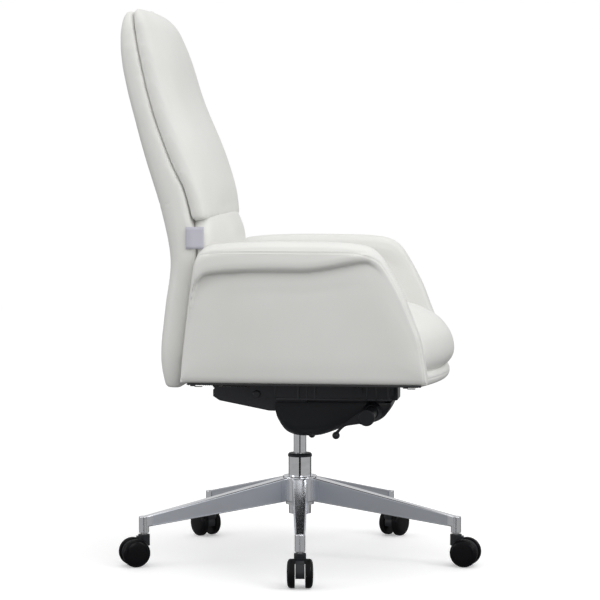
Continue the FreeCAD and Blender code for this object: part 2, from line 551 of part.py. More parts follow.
def make_actuator():
    """The rocking arm inside the housing that presses the valve button."""
    front = LEVER_PIVOT[0] - CAM_LENGTH
    low = BUTTON_HIGH + SKIN_GAP
    half = ACTUATOR_HALF
    arm = block(-half, half, -half, front + 5, low, low + ACTUATOR_THICKNESS)
    eye = pin(ACTUATOR_AXLE * 2, -half, half, ACTUATOR_PIVOT)
    axle = pin(ACTUATOR_AXLE, -2 * half, 2 * half, ACTUATOR_PIVOT)
    return fuse_all([arm, eye, axle])


def lever_handle(pivot, reach, drop):
    """A round head with a curved arm that ends in a ball, drawn on the sitter's right."""
    forward, height = pivot
    low_x, high_x = -LEVER_X, -LEVER_X + LEVER_THICKNESS
    head = pin(LEVER_HEAD_RADIUS, low_x, high_x, pivot)
    head = head.makeFillet(2.5, [edge for edge in head.Edges if edge.Length > LEVER_HEAD_RADIUS * 5])
    tip = (forward - reach, height - drop)
    ball_x = (low_x + high_x) / 2
    ball = Part.makeSphere(LEVER_TIP_RADIUS, at(ball_x, *tip))
    root_top = (forward - LEVER_HEAD_RADIUS * 0.35, height + LEVER_HEAD_RADIUS * 0.93)
    mid_top = (forward - reach * 0.62, height - drop * 0.2)
    end_top = (tip[0] - 5, tip[1] + 4)
    root_low = (forward - LEVER_HEAD_RADIUS * 0.6, height - LEVER_HEAD_RADIUS * 0.8)
    mid_low = (forward - reach * 0.55, height - drop * 0.38)
    end_low = (tip[0] + 5, tip[1] + 4)
    upper = Part.Arc(at(0, *root_top), at(0, *mid_top), at(0, *end_top)).toShape()
    lower = Part.Arc(at(0, *root_low), at(0, *mid_low), at(0, *end_low)).toShape()
    edges = [upper, line(end_top, end_low), lower, line(root_low, root_top)]
    arm = side_prism(edges, low_x + 2, high_x - 2)
    barrel = pin(LEVER_BARREL_RADIUS, high_x - 1, -COVER_HALF + 6, pivot)
    handle = fuse_all([head, arm, ball, barrel])
    return handle.cut(pin(LEVER_ROD_RADIUS + SEAT_GAP, high_x - 4, 0, pivot))


def make_levers():
    rod_outer = -LEVER_X + LEVER_THICKNESS - 3.8
    rod = pin(LEVER_ROD_RADIUS, rod_outer, 10, LEVER_PIVOT)
    cam_top = BUTTON_HIGH - 0.2
    finger_front = LEVER_PIVOT[0] - CAM_LENGTH
    cam = side_polygon([(LEVER_PIVOT[0] + 4, LEVER_PIVOT[1] - 3), (LEVER_PIVOT[0] + 4, LEVER_PIVOT[1] + 4),
                        (finger_front + 4, cam_top), (finger_front - 3, cam_top),
                        (finger_front - 3, cam_top - 5), (LEVER_PIVOT[0] - 6, LEVER_PIVOT[1] - 3)], -5, 5)
    save("height_lever_rod", fuse_all([rod, cam]))
    save("height_lever_handle", lever_handle(LEVER_PIVOT, LEVER_REACH, LEVER_DROP))
    lock_rod = pin(LEVER_ROD_RADIUS, rod_outer, -22, LOCK_PIVOT)
    lock_dog = side_polygon([(LOCK_PIVOT[0] - 5, LOCK_PIVOT[1]), (LOCK_PIVOT[0] + 5, LOCK_PIVOT[1]),
                             (LOCK_PIVOT[0] + 3, LOCK_PIVOT[1] + 18), (LOCK_PIVOT[0] - 3, LOCK_PIVOT[1] + 18)],
                            -32, -24)
    save("lock_lever_rod", mirrored(fuse_all([lock_rod, lock_dog])))
    save("lock_lever_handle", mirrored(lever_handle(LOCK_PIVOT, LOCK_REACH, LOCK_DROP)))


# ================================================================ seat
def rounded_slab(half, rear, front, low, high, corner):
    slab = block(-half, half, rear, front, low, high)
    return slab.makeFillet(corner, edges_where(slab, lambda edge: along(edge, Z_AXIS)))


def make_seat_plate():
    high = SEAT_BOTTOM
    plate = block(-FLANGE_OUTER, FLANGE_OUTER, PLATE_REAR, PLATE_FRONT, high - PLATE_THICKNESS, high)
    wings = []
    for forward in WING_PLACES:
        wings.append(block(-WING_REACH, WING_REACH, forward - WING_HALF, forward + WING_HALF,
                           high - PLATE_THICKNESS, high))
    flanges = []
    outline = [(PLATE_REAR, high), (PLATE_REAR, FLANGE_LOW + 3), (PLATE_REAR + 6, FLANGE_LOW - 1),
               (LINK_PIN[0] + 14, FLANGE_LOW - 1), (LINK_PIN[0] + 22, FLANGE_LOW + 6), (-44, FLANGE_LOW + 6),
               (-36, FLANGE_LOW), (PLATE_FRONT - 12, FLANGE_LOW), (PLATE_FRONT, FLANGE_LOW + 12),
               (PLATE_FRONT, high)]
    for x_low, x_high in ((-FLANGE_OUTER, -FLANGE_INNER), (FLANGE_INNER, FLANGE_OUTER)):
        flanges.append(side_polygon(outline, x_low, x_high))
    ribs = []
    for forward, width in ((4, 5), (39, 4)):
        for x_low, x_high in ((-FLANGE_OUTER - 1, -FLANGE_OUTER + 1), (FLANGE_OUTER - 1, FLANGE_OUTER + 1)):
            ribs.append(block(x_low, x_high, forward - width / 2, forward + width / 2, FLANGE_LOW + 1, high))
    plate = fuse_all([plate] + wings + flanges + ribs)
    wide = FLANGE_OUTER + 5
    plate = plate.cut(pin(PIVOT_RADIUS + RUN_GAP, -wide, wide, FRONT_PIVOT))
    plate = plate.cut(pin(PIVOT_RADIUS + SEAT_GAP, -wide, wide, LINK_PIN))
    for x, forward in seat_bolt_places():
        plate = plate.cut(Part.makeCylinder(BOLT_HOLE, 20, at(x, forward, SEAT_BOTTOM - 10)))
    return plate


def seat_bolt_places():
    return [(x, forward) for x in (-PLATE_BOLT_X, PLATE_BOLT_X) for forward in WING_PLACES]


def arm_bolt_places(side):
    return [(side * ARM_BOLT_X, forward) for forward in ARM_BOLT_PLACES]


def bolt(x, forward, low):
    """A round-headed bolt that points up, with its head below a height."""
    head = Part.makeCylinder(BOLT_HEAD, BOLT_HEAD_HEIGHT, at(x, forward, low - BOLT_HEAD_HEIGHT))
    head = head.makeFillet(1.5, [edge for edge in head.Edges
                                 if edge.Length > BOLT_HEAD * 5 and edge.BoundBox.ZMin < low - 3])
    shank = Part.makeCylinder(BOLT_SHANK, BOLT_LENGTH + 1, at(x, forward, low - 1))
    return head.fuse(shank).removeSplitter()


def arm_bracket(side):
    """The steel angle that ties an arm to the seat board."""
    x_wall = ARM_INNER - SKIN_GAP
    foot = block(x_wall - FOOT_WIDTH, x_wall, ANGLE_REAR, ANGLE_FRONT, SEAT_BOTTOM,
                 SEAT_BOTTOM + ANGLE_THICKNESS)
    wall = block(x_wall - ANGLE_THICKNESS, x_wall, ANGLE_REAR, ANGLE_FRONT, SEAT_BOTTOM, ANGLE_TOP)
    angle = foot.fuse(wall).removeSplitter()
    for x, forward in arm_bolt_places(1):
        angle = angle.cut(Part.makeCylinder(BOLT_HOLE, 20, at(x, forward, SEAT_BOTTOM - 5)))
    return angle if side > 0 else mirrored(angle)


def make_seat():
    save("seat_plate", make_seat_plate())
    bolts = []
    for x, forward in seat_bolt_places():
        bolts.append(bolt(x, forward, SEAT_BOTTOM - PLATE_THICKNESS))
    for side in (-1, 1):
        for x, forward in arm_bolt_places(side):
            bolts.append(bolt(x, forward, SEAT_BOTTOM))
    save("seat_bolts", *bolts)

    ply_low = SEAT_BOTTOM + BOARD_LIFT
    ply_rear, ply_front = SEAT_REAR + 14, SEAT_BASE_FRONT - 24
    ply_half = SEAT_HALF - BOARD_MARGIN
    ply = rounded_slab(ply_half, ply_rear, ply_front, ply_low, ply_low + PLY_THICKNESS, BOARD_CORNER)
    spacer = block(-FLANGE_OUTER, FLANGE_OUTER, PLATE_REAR, PLATE_FRONT, SEAT_BOTTOM, ply_low)
    pads = []
    for forward in WING_PLACES:
        pads.append(block(-WING_REACH, WING_REACH, forward - WING_HALF, forward + WING_HALF, SEAT_BOTTOM, ply_low))
    ply = fuse_all([ply, spacer] + pads)
    for x, forward in seat_bolt_places() + arm_bolt_places(1) + arm_bolt_places(-1):
        ply = ply.cut(Part.makeCylinder(BOLT_SHANK + SEAT_GAP, 14, at(x, forward, SEAT_BOTTOM - 1)))
    save("seat_board", ply)

    brackets = {"left": arm_bracket(1), "right": arm_bracket(-1)}
    surround = rounded_slab(SEAT_HALF, SEAT_REAR, SEAT_BASE_FRONT, SEAT_BOTTOM, SEAT_BASE_TOP, CORNER_ROUND)
    pocket = rounded_slab(ply_half + SKIN_GAP, ply_rear - SKIN_GAP, ply_front + SKIN_GAP, SEAT_BOTTOM - 1,
                          ply_low + PLY_THICKNESS + SKIN_GAP, BOARD_CORNER)
    slot_rear, slot_front = ANGLE_REAR - SKIN_GAP, ANGLE_FRONT + SKIN_GAP
    surround = surround.cut(pocket)
    for side in (-1, 1):
        x_low, x_high = sorted((side * (ARM_INNER - FOOT_WIDTH - 2), side * (ARM_INNER + 5)))
        surround = surround.cut(block(x_low, x_high, slot_rear, slot_front, SEAT_BOTTOM - 1, ply_low + SKIN_GAP))
        x_low, x_high = sorted((side * (ARM_INNER - 4), side * (ARM_INNER + 5)))
        surround = surround.cut(block(x_low, x_high, slot_rear, slot_front, SEAT_BOTTOM - 1, SEAT_BASE_TOP + 1))
    save("seat_surround", surround)
    for name, angle in brackets.items():
        save(f"arm_bracket_{name}", angle)

    dust = rounded_slab(ply_half - 2, ply_rear + 2, ply_front - 2, ply_low - 1.2, ply_low - 0.1, BOARD_CORNER)
    below, above = SEAT_BOTTOM - 1, ply_low + 1
    dust = dust.cut(block(-FLANGE_OUTER - 1, FLANGE_OUTER + 1, PLATE_REAR - 1, PLATE_FRONT + 1, below, above))
    for forward in WING_PLACES:
        dust = dust.cut(block(-WING_REACH - 1, WING_REACH + 1, forward - WING_HALF - 1, forward + WING_HALF + 1,
                              below, above))
    for side in (-1, 1):
        x_low, x_high = sorted((side * (ARM_INNER - FOOT_WIDTH - 2), side * (ARM_INNER + 5)))
        dust = dust.cut(block(x_low, x_high, ANGLE_REAR - 1, ANGLE_FRONT + 1, below, above))
    save("dust_cover", dust)

    low = SEAT_BASE_TOP + SKIN_GAP
    top_points = [(f, low + h) for f, h in CUSHION_OUTLINE]
    rear_low, rear_high = (CUSHION_REAR, low), top_points[-1]
    edges = [curve(top_points), line(rear_high, rear_low), line(rear_low, top_points[0])]
    cushion_half = ARM_INNER - 3 - 2 * SKIN_GAP
    cushion = side_prism(edges, -cushion_half, cushion_half)
    save("seat_cushion", cushion)

    pins = []
    for side in (-1, 1):
        link = pin(PIVOT_RADIUS, BRACKET_INNER - 1, FLANGE_OUTER + 0.5, LINK_PIN)
        head = pin(PIVOT_RADIUS + 3.2, FLANGE_OUTER + 0.1, FLANGE_OUTER + 5, LINK_PIN)
        head = head.makeFillet(2.5, [edge for edge in head.Edges if edge.Length > 40
                                     and edge.BoundBox.XMin > FLANGE_OUTER + 3])
        link = link.fuse(head).removeSplitter()
        pins.append(link if side > 0 else mirrored(link))
    save("link_pins", *pins)


# ================================================================ arms
def make_arm():
    """The upholstered arm on the sitter's left, its inner board and its top pad."""
    front, rear = ARM_FRONT_EDGE, ARM_REAR_EDGE
    edges = [curve(front), line(front[-1], rear[-1]), curve(rear), line(rear[0], front[0])]
    panel = side_prism(edges, ARM_INNER, ARM_OUTER)
    board = side_polygon(ARM_FRAME, ARM_INNER + 20, ARM_INNER + 32)
    pocket = side_polygon([(f + (SKIN_GAP if f > 0 else -SKIN_GAP), h + (SKIN_GAP if h > 500 else -SKIN_GAP))
                           for f, h in ARM_FRAME], ARM_INNER + 20 - SKIN_GAP, ARM_INNER + 32 + SKIN_GAP)
    panel = panel.cut(pocket)
    pad_edges = [curve(PAD_OUTLINE), line(PAD_OUTLINE[-1], PAD_OUTLINE[0])]
    pad = side_prism(pad_edges, PAD_INNER, PAD_OUTER)
    return panel, board, pad


def make_arms():
    panel, board, pad = make_arm()
    for name, solid in (("arm_panel", panel), ("arm_board", board), ("arm_pad", pad)):
        save(f"{name}_left", solid)
        save(f"{name}_right", mirrored(solid))


# ================================================================ back
def back_outline():
    """The back's front view as a prism through the whole back."""
    right = [Vector(half, 0, height) for height, half in BACK_HALF]
    left = [Vector(-half, 0, height) for height, half in BACK_HALF]
    side = Part.BSplineCurve()
    side.interpolate(right)
    other = Part.BSplineCurve()
    other.interpolate(left)
    corner_x = BACK_HALF[-1][1] - BACK_CORNER
    bend = BACK_CORNER * (1 - math.sqrt(0.5))
    top = BACK_TOP + 20
    start = right[-1]
    mid = Vector(start.x - bend * 0.8, start.y, top - bend * 1.2)
    end = Vector(corner_x, start.y, top)
    arcs = [Part.Arc(start, mid, end).toShape(),
            Part.Arc(Vector(-start.x, start.y, start.z), Vector(-mid.x, mid.y, mid.z),
                     Vector(-end.x, end.y, end.z)).toShape()]
    edges = [side.toShape(), other.toShape(), Part.makeLine(end, Vector(-end.x, end.y, end.z)),
             Part.makeLine(left[0], right[0])] + arcs
    face = Part.Face(Part.Wire(Part.sortEdges(edges)[0]))
    return face.extrude(Vector(0, BACK_DEPTH, 0))


def seam_edges(shift):
    return [line(*SEAM_STRAIGHT, shift=shift), curve(SEAM_CURVE, shift=shift)]


def seam_at(height):
    """How far forward the straight part of the seam lies at a height."""
    (f0, h0), (f1, h1) = SEAM_STRAIGHT
    return f0 + (f1 - f0) * (height - h0) / (h1 - h0)


def upright_outline(gap=0.0):
    """Side view of the steel upright that carries the back."""
    foot_rear, foot_front = -181, -168
    join = 432
    thick = UPRIGHT_THICKNESS + gap
    return [(foot_rear, 374), (seam_at(join) - gap, join), (seam_at(UPRIGHT_TOP + gap) - gap, UPRIGHT_TOP + gap),
            (seam_at(UPRIGHT_TOP + gap) + thick, UPRIGHT_TOP + gap), (seam_at(join) + thick, join),
            (foot_front, 374)]


def back_bolt_places():
    return [(x, height) for x in (-BACK_BOLT_X, BACK_BOLT_X) for height in BACK_BOLT_HEIGHTS]


def make_bracket():
    bar_f, bar_h = SPRING_BAR
    outline = [(-168, 347), (-60, 326), (MAIN_PIVOT[0], MAIN_PIVOT[1] - 13), (bar_f - 4, bar_h - 7),
               (bar_f + 6, bar_h - 4), (bar_f + 6, bar_h + 5), (MAIN_PIVOT[0] + 13, MAIN_PIVOT[1] + 6),
               (MAIN_PIVOT[0] + 4, MAIN_PIVOT[1] + 12), (-52, 357), (-66, 377), (-176, 377), (-182, 370),
               (-182, 356)]
    arms = []
    for x_low, x_high in ((-BRACKET_OUTER, -BRACKET_INNER), (BRACKET_INNER, BRACKET_OUTER)):
        arms.append(side_polygon(outline, x_low, x_high))
    web_rear = HOUSING_REAR - 3
    floor = side_polygon([(-168, 347), (web_rear - 30, 332), (web_rear - 30, 337), (-168, 352)],
                         -BRACKET_OUTER, BRACKET_OUTER)
    rear = side_polygon([(-168, 347), (-182, 356), (-182, 370), (-176, 377), (-170, 377), (-165, 352)],
                        -BRACKET_OUTER, BRACKET_OUTER)
    upright = side_polygon(upright_outline(), -UPRIGHT_HALF, UPRIGHT_HALF)
    bar = pin(SPRING_BAR_RADIUS, -BRACKET_INNER - 1, BRACKET_INNER + 1, SPRING_BAR)
    bracket = fuse_all(arms + [floor, rear, upright, bar])
    wide = BRACKET_OUTER + 5
    bracket = bracket.cut(pin(PIVOT_RADIUS + RUN_GAP, -wide, wide, MAIN_PIVOT))
    slot_half = PIVOT_RADIUS + 2.5
    slot = side_polygon([(LINK_PIN[0] - 8, LINK_PIN[1] - slot_half), (LINK_PIN[0] + 16, LINK_PIN[1] - slot_half),
                         (LINK_PIN[0] + 16, LINK_PIN[1] + slot_half), (LINK_PIN[0] - 8, LINK_PIN[1] + slot_half)],
                        -wide, wide)
    bracket = bracket.cut(slot)
    for x, height in back_bolt_places():
        bracket = bracket.cut(Part.makeCylinder(BOLT_HOLE, 40, at(x, seam_at(height) + 20, height), Y_AXIS))
    return bracket


def make_back():
    outline = back_outline()
    save("back_bracket", make_bracket())

    bolts = []
    for x, height in back_bolt_places():
        face = seam_at(height) + UPRIGHT_THICKNESS + 1
        head = Part.makeCylinder(BOLT_HEAD, BOLT_HEAD_HEIGHT, at(x, face + BOLT_HEAD_HEIGHT, height), Y_AXIS)
        shank = Part.makeCylinder(BOLT_SHANK, 15, at(x, face + 1, height), Y_AXIS)
        bolts.append(head.fuse(shank).removeSplitter())
    save("back_bolts", *bolts)

    ply_edges_front = seam_edges(-SKIN_GAP)
    prism = side_prism(
        ply_edges_front + seam_edges(-SKIN_GAP - BACK_PLY)
        + [line(SEAM_STRAIGHT[0], (SEAM_STRAIGHT[0][0] - BACK_PLY, SEAM_STRAIGHT[0][1]), shift=-SKIN_GAP),
           line(SEAM_CURVE[-1], (SEAM_CURVE[-1][0] - BACK_PLY, SEAM_CURVE[-1][1]), shift=-SKIN_GAP)],
        -BACK_PLY_HALF, BACK_PLY_HALF)
    window = block(-BACK_PLY_HALF - 1, BACK_PLY_HALF + 1, -BACK_DEPTH, 0, BACK_PLY_LOW, BACK_PLY_HIGH)
    ply = prism.common(window)
    for x, height in back_bolt_places():
        ply = ply.cut(Part.makeCylinder(BOLT_SHANK + SEAT_GAP, 60, at(x, seam_at(height) + 30, height), Y_AXIS))
    save("back_board", ply)

    top_rear, top_seam = REAR_CURVE[-1], SEAM_CURVE[-1]
    shell_edges = [curve(REAR_CURVE), line(top_rear, top_seam)] + seam_edges(0)
    shell_edges.append(line(SEAM_STRAIGHT[0], REAR_CURVE[0]))
    shell = side_prism(shell_edges, -BACK_REACH, BACK_REACH).common(outline)
    pocket_edges = seam_edges(1) + seam_edges(-BACK_PLY - 2 * SKIN_GAP)
    pocket_edges += [line((SEAM_STRAIGHT[0][0] + 1, SEAM_STRAIGHT[0][1]),
                          (SEAM_STRAIGHT[0][0] - BACK_PLY - 2 * SKIN_GAP, SEAM_STRAIGHT[0][1])),
                     line((SEAM_CURVE[-1][0] + 1, SEAM_CURVE[-1][1]),
                          (SEAM_CURVE[-1][0] - BACK_PLY - 2 * SKIN_GAP, SEAM_CURVE[-1][1]))]
    pocket = side_prism(pocket_edges, -BACK_PLY_HALF - SKIN_GAP, BACK_PLY_HALF + SKIN_GAP)
    pocket = pocket.common(block(-BACK_REACH, BACK_REACH, -BACK_DEPTH, 0, BACK_PLY_LOW - SKIN_GAP,
                                 BACK_PLY_HIGH + SKIN_GAP))
    shell = shell.cut(pocket)
    for x, height in back_bolt_places():
        shell = shell.cut(Part.makeCylinder(3.6, 30, at(x, seam_at(height) + 10, height), Y_AXIS))
    save("back_shell", shell)

    low_front = FRONT_CURVE[0]
    low_seam = (seam_at(low_front[1]) + SKIN_GAP, low_front[1])
    cushion_edges = [curve(FRONT_CURVE), line(low_front, low_seam),
                     line(low_seam, (SEAM_STRAIGHT[1][0] + SKIN_GAP, SEAM_STRAIGHT[1][1])),
                     curve(SEAM_CURVE, shift=SKIN_GAP),
                     line(FRONT_CURVE[-1], (SEAM_CURVE[-1][0] + SKIN_GAP, SEAM_CURVE[-1][1]))]
    cushion = side_prism(cushion_edges, -BACK_REACH, BACK_REACH).common(outline)
    hollow = side_polygon(upright_outline(gap=SKIN_GAP), -UPRIGHT_HALF - SKIN_GAP, UPRIGHT_HALF + SKIN_GAP)
    heads = []
    for x, height in back_bolt_places():
        heads.append(Part.makeCylinder(7, 12, at(x, seam_at(height) + 14, height), Y_AXIS))
    for tool in [hollow] + heads:
        cushion = cushion.cut(tool)
    upper = cushion.common(block(-BACK_REACH, BACK_REACH, -BACK_DEPTH, 0, LUMBAR_SPLIT + SKIN_GAP,
                                 BACK_TOP + SKIN_GAP))
    lower = cushion.common(block(-BACK_REACH, BACK_REACH, -BACK_DEPTH, 0, BACK_BOTTOM, LUMBAR_SPLIT))
    save("back_cushion", upper.Solids[0])
    save("lumbar_cushion", lower.Solids[0])

    width, height, thickness = LABEL_SIZE
    half = BACK_HALF[2][1] + 1.0
    label = block(-half - thickness, -half, LABEL_REAR, LABEL_REAR + width, LABEL_HEIGHT, LABEL_HEIGHT + height)
    save("back_label", label)


save("five_star_base", make_base())
make_casters()
make_column()
make_mechanism()
save("valve_actuator", make_actuator())
make_levers()
make_seat()
make_arms()
make_back()
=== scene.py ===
# %% [markdown]
# # A swivel office chair
# The real chair is an upholstered high-back chair: foam under white leather, on a tilt mechanism, a gas
# column and a polished five-legged base with twin-wheel casters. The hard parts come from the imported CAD
# model and keep their shape. This lesson gives them their finishes and makes every upholstered part.

# %% Load the frame
import json
import numpy as np
from math import atan2, cos, exp, pi, radians, sin, sqrt
import bpy
import bmesh
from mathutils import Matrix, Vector
from mathutils.bvhtree import BVHTree
from mathutils.kdtree import KDTree

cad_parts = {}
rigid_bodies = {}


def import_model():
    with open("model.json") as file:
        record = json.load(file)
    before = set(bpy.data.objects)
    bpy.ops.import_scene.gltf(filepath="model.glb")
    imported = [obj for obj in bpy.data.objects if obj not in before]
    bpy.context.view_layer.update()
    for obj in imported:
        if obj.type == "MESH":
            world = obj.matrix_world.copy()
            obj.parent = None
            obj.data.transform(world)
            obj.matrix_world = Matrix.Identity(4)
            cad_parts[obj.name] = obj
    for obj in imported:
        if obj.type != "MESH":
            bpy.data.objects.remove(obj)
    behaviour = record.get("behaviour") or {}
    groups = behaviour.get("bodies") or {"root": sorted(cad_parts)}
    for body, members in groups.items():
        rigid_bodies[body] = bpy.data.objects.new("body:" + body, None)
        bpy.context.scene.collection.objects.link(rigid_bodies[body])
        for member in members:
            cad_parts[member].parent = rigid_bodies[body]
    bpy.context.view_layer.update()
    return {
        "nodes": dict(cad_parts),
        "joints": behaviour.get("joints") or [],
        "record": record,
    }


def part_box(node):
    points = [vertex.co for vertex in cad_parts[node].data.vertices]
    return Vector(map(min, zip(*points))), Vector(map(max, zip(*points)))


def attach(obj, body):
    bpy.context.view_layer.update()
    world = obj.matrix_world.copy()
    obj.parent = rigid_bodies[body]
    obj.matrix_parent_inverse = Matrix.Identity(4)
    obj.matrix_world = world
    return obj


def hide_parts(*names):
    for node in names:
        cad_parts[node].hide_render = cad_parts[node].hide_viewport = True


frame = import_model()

nodes = frame["nodes"]
joints = {joint["name"]: joint for joint in frame["joints"]}

# %% [markdown]
# ## Camera, floor and light
# A product view is taken from far away with a long lens, so that upright lines stay parallel. The camera
# looks level at the column from a little in front of the sitter's right side. We could track it to an
# empty, but two angles say the same thing and leave nothing behind in the scene.

# %% Camera
VIEW_DISTANCE, VIEW_HEIGHT = 4.934, 0.848
VIEW_TURN, VIEW_PITCH = radians(7.0), radians(3.32)
scene = bpy.context.scene
lens = bpy.data.cameras.new("product_lens")
lens.lens, lens.sensor_width = 136.7, 36.0
camera = bpy.data.objects.new("product_camera", lens)
camera.location = (-VIEW_DISTANCE * cos(VIEW_TURN), -VIEW_DISTANCE * sin(VIEW_TURN), VIEW_HEIGHT)
camera.rotation_euler = (pi / 2 - VIEW_PITCH, 0, VIEW_TURN - pi / 2)
scene.collection.objects.link(camera)
scene.camera = camera
print("camera at", [round(v, 2) for v in camera.location])

# %% [markdown]
# White leather needs a bright room with soft shadows, but polished metal needs something dark to reflect,
# or it turns into white paper. So the room is a sky that is bright overhead and dim at eye level, and the
# pale backdrop is a separate wall that only the camera sees. Lamps overhead and in front shape the leather.

# %% Room, floor and backdrop
FLOOR_REACH, WALL_HIGH = 9.0, 9.0
PALE = 1.0


def round_wall(name, radius, low, high, steps=96):
    """A plain upright wall all round the object."""
    mesh = bpy.data.meshes.new(name)
    ring = [(radius * cos(2 * pi * k / steps), radius * sin(2 * pi * k / steps)) for k in range(steps)]
    verts = [(x, y, low) for x, y in ring] + [(x, y, high) for x, y in ring]
    sides = [(k, (k + 1) % steps, steps + (k + 1) % steps, steps + k) for k in range(steps)]
    mesh.from_pydata(verts, [], sides)
    wall = bpy.data.objects.new(name, mesh)
    scene.collection.objects.link(wall)
    return wall


bpy.ops.mesh.primitive_circle_add(vertices=96, radius=FLOOR_REACH, fill_type="NGON")
floor = bpy.context.object
floor.name = "studio_floor"
floor.visible_diffuse = floor.visible_glossy = False
backdrop = round_wall("studio_backdrop", FLOOR_REACH, -1.0, WALL_HIGH)
backdrop.visible_diffuse = backdrop.visible_glossy = backdrop.visible_shadow = False
backdrop.visible_transmission = False

CARD_PLACES = ((-7.4, -0.75, 2.6), (5.5, -5.0, 2.2), (5.5, 5.0, 2.2))   # across, along, and how wide
for number, (card_x, card_y, wide) in enumerate(CARD_PLACES, 1):
    bpy.ops.mesh.primitive_plane_add(size=1.0)
    card = bpy.context.object
    card.name = f"studio_dark_card_{number}"
    card.scale = (wide, 5.0, 1.0)
    card.location = (card_x, card_y, 1.2)
    card.rotation_euler = (pi / 2, 0, atan2(card_y, card_x) + pi / 2)
    card.visible_camera = card.visible_diffuse = card.visible_shadow = False
cards = [piece for piece in scene.objects if piece.name.startswith("studio_dark_card")]

room = bpy.data.worlds.new("studio_room")
room.use_nodes = True
sky = room.node_tree
direction = sky.nodes.new("ShaderNodeTexCoord")
split = sky.nodes.new("ShaderNodeSeparateXYZ")
fade = sky.nodes.new("ShaderNodeMapRange")
fade.inputs["From Min"].default_value, fade.inputs["From Max"].default_value = -0.4, 0.6
fade.inputs["To Min"].default_value, fade.inputs["To Max"].default_value = 0.18, 0.86
sky.nodes["Background"].inputs["Color"].default_value = (1.0, 1.0, 1.0, 1.0)
sky.links.new(direction.outputs["Generated"], split.inputs["Vector"])
sky.links.new(split.outputs["Z"], fade.inputs["Value"])
sky.links.new(fade.outputs["Result"], sky.nodes["Background"].inputs["Strength"])
scene.world = room
scene.view_settings.view_transform = "Standard"


# %% Lamps
def soft_lamp(name, place, target, width, height, power):
    """An upright rectangular area lamp at one place, facing another."""
    lamp = bpy.data.lights.new(name, "AREA")
    lamp.shape = "RECTANGLE"
    lamp.size, lamp.size_y, lamp.energy = width, height, power
    holder = bpy.data.objects.new(name, lamp)
    holder.location = place
    holder.rotation_euler = (Vector(target) - Vector(place)).to_track_quat("-Z", "Y").to_euler()
    scene.collection.objects.link(holder)
    return holder


seat_middle = Vector((0, 0, 0.55))
soft_lamp("lamp_overhead", (-0.4, -0.8, 3.4), seat_middle, 2.4, 2.4, 8)
soft_lamp("lamp_front", (-1.6, -3.2, 2.7), seat_middle, 1.4, 2.0, 34)
soft_lamp("lamp_rear", (-1.6, 3.4, 1.3), seat_middle, 1.2, 2.2, 18)
soft_lamp("lamp_side", (-4.4, -1.6, 1.7), seat_middle, 1.6, 2.0, 24)

# %% [markdown]
# ## Finishes
# Every finish is a small node tree. A helper adds a node and sets its sockets, so each recipe below reads
# like a list of steps. Numbers that are the same all over a surface go straight on the shader's sockets,
# and only what changes from place to place is worked out by nodes.


# %% A helper for node trees
class Recipe:
    """A material under construction: its tree, its shader and a short way to add nodes."""

    def __init__(self, name, color, roughness, metallic=0.0, specular=0.5):
        self.material = bpy.data.materials.new(name)
        self.material.use_nodes = True
        self.tree = self.material.node_tree
        self.shader = self.tree.nodes["Principled BSDF"]
        self.shader.inputs["Base Color"].default_value = (*color, 1)
        self.shader.inputs["Roughness"].default_value = roughness
        self.shader.inputs["Metallic"].default_value = metallic
        self.shader.inputs["Specular IOR Level"].default_value = specular

    def add(self, kind, **inputs):
        """A node of one kind with its sockets set to values or joined to other sockets."""
        node = self.tree.nodes.new("ShaderNode" + kind)
        for key, value in inputs.items():
            self.join(value, node.inputs[key.replace("_", " ")])
        return node

    def join(self, value, socket):
        if isinstance(value, bpy.types.NodeSocket):
            self.tree.links.new(value, socket)
        else:
            socket.default_value = value

    def place(self, stretch=(1, 1, 1)):
        """Object coordinates in metres, so a grain has its real size on every piece."""
        source = self.add("TexCoord").outputs["Object"]
        mapping = self.add("Mapping", Vector=source, Scale=stretch)
        return mapping.outputs["Vector"]

    def ramp(self, value, low, high, dark, light):
        """Spreads a value between two numbers or two colours."""
        node = self.add("MapRange", Value=value)
        node.inputs["From Min"].default_value, node.inputs["From Max"].default_value = low, high
        node.inputs["To Min"].default_value, node.inputs["To Max"].default_value = dark, light
        return node.outputs["Result"]

    def tint(self, share, dark, light):
        node = self.tree.nodes.new("ShaderNodeMix")
        node.data_type = "RGBA"
        self.tree.links.new(share, node.inputs["Factor"])
        node.inputs["A"].default_value = (*dark, 1)
        node.inputs["B"].default_value = (*light, 1)
        return node.outputs["Result"]

    def bump(self, height, depth, strength=1.0):
        """Makes a height in millimetres stand up on the surface."""
        node = self.add("Bump", Height=height, Distance=depth * 0.001, Strength=strength)
        self.tree.links.new(node.outputs["Normal"], self.shader.inputs["Normal"])

    def sets(self, **sockets):
        for key, value in sockets.items():
            self.join(value, self.shader.inputs[key.replace("_", " ")])


# %% [markdown]
# **Leather.** Finished leather has tiny round-edged cells about a millimetre across, with a few soft
# creases where it is pulled. Cell noise gives the pebbles, and a slower noise changes the colour and the
# shine a little, as hands and light do on a real hide. An image would do it too, but noise never repeats.

# %% Leather


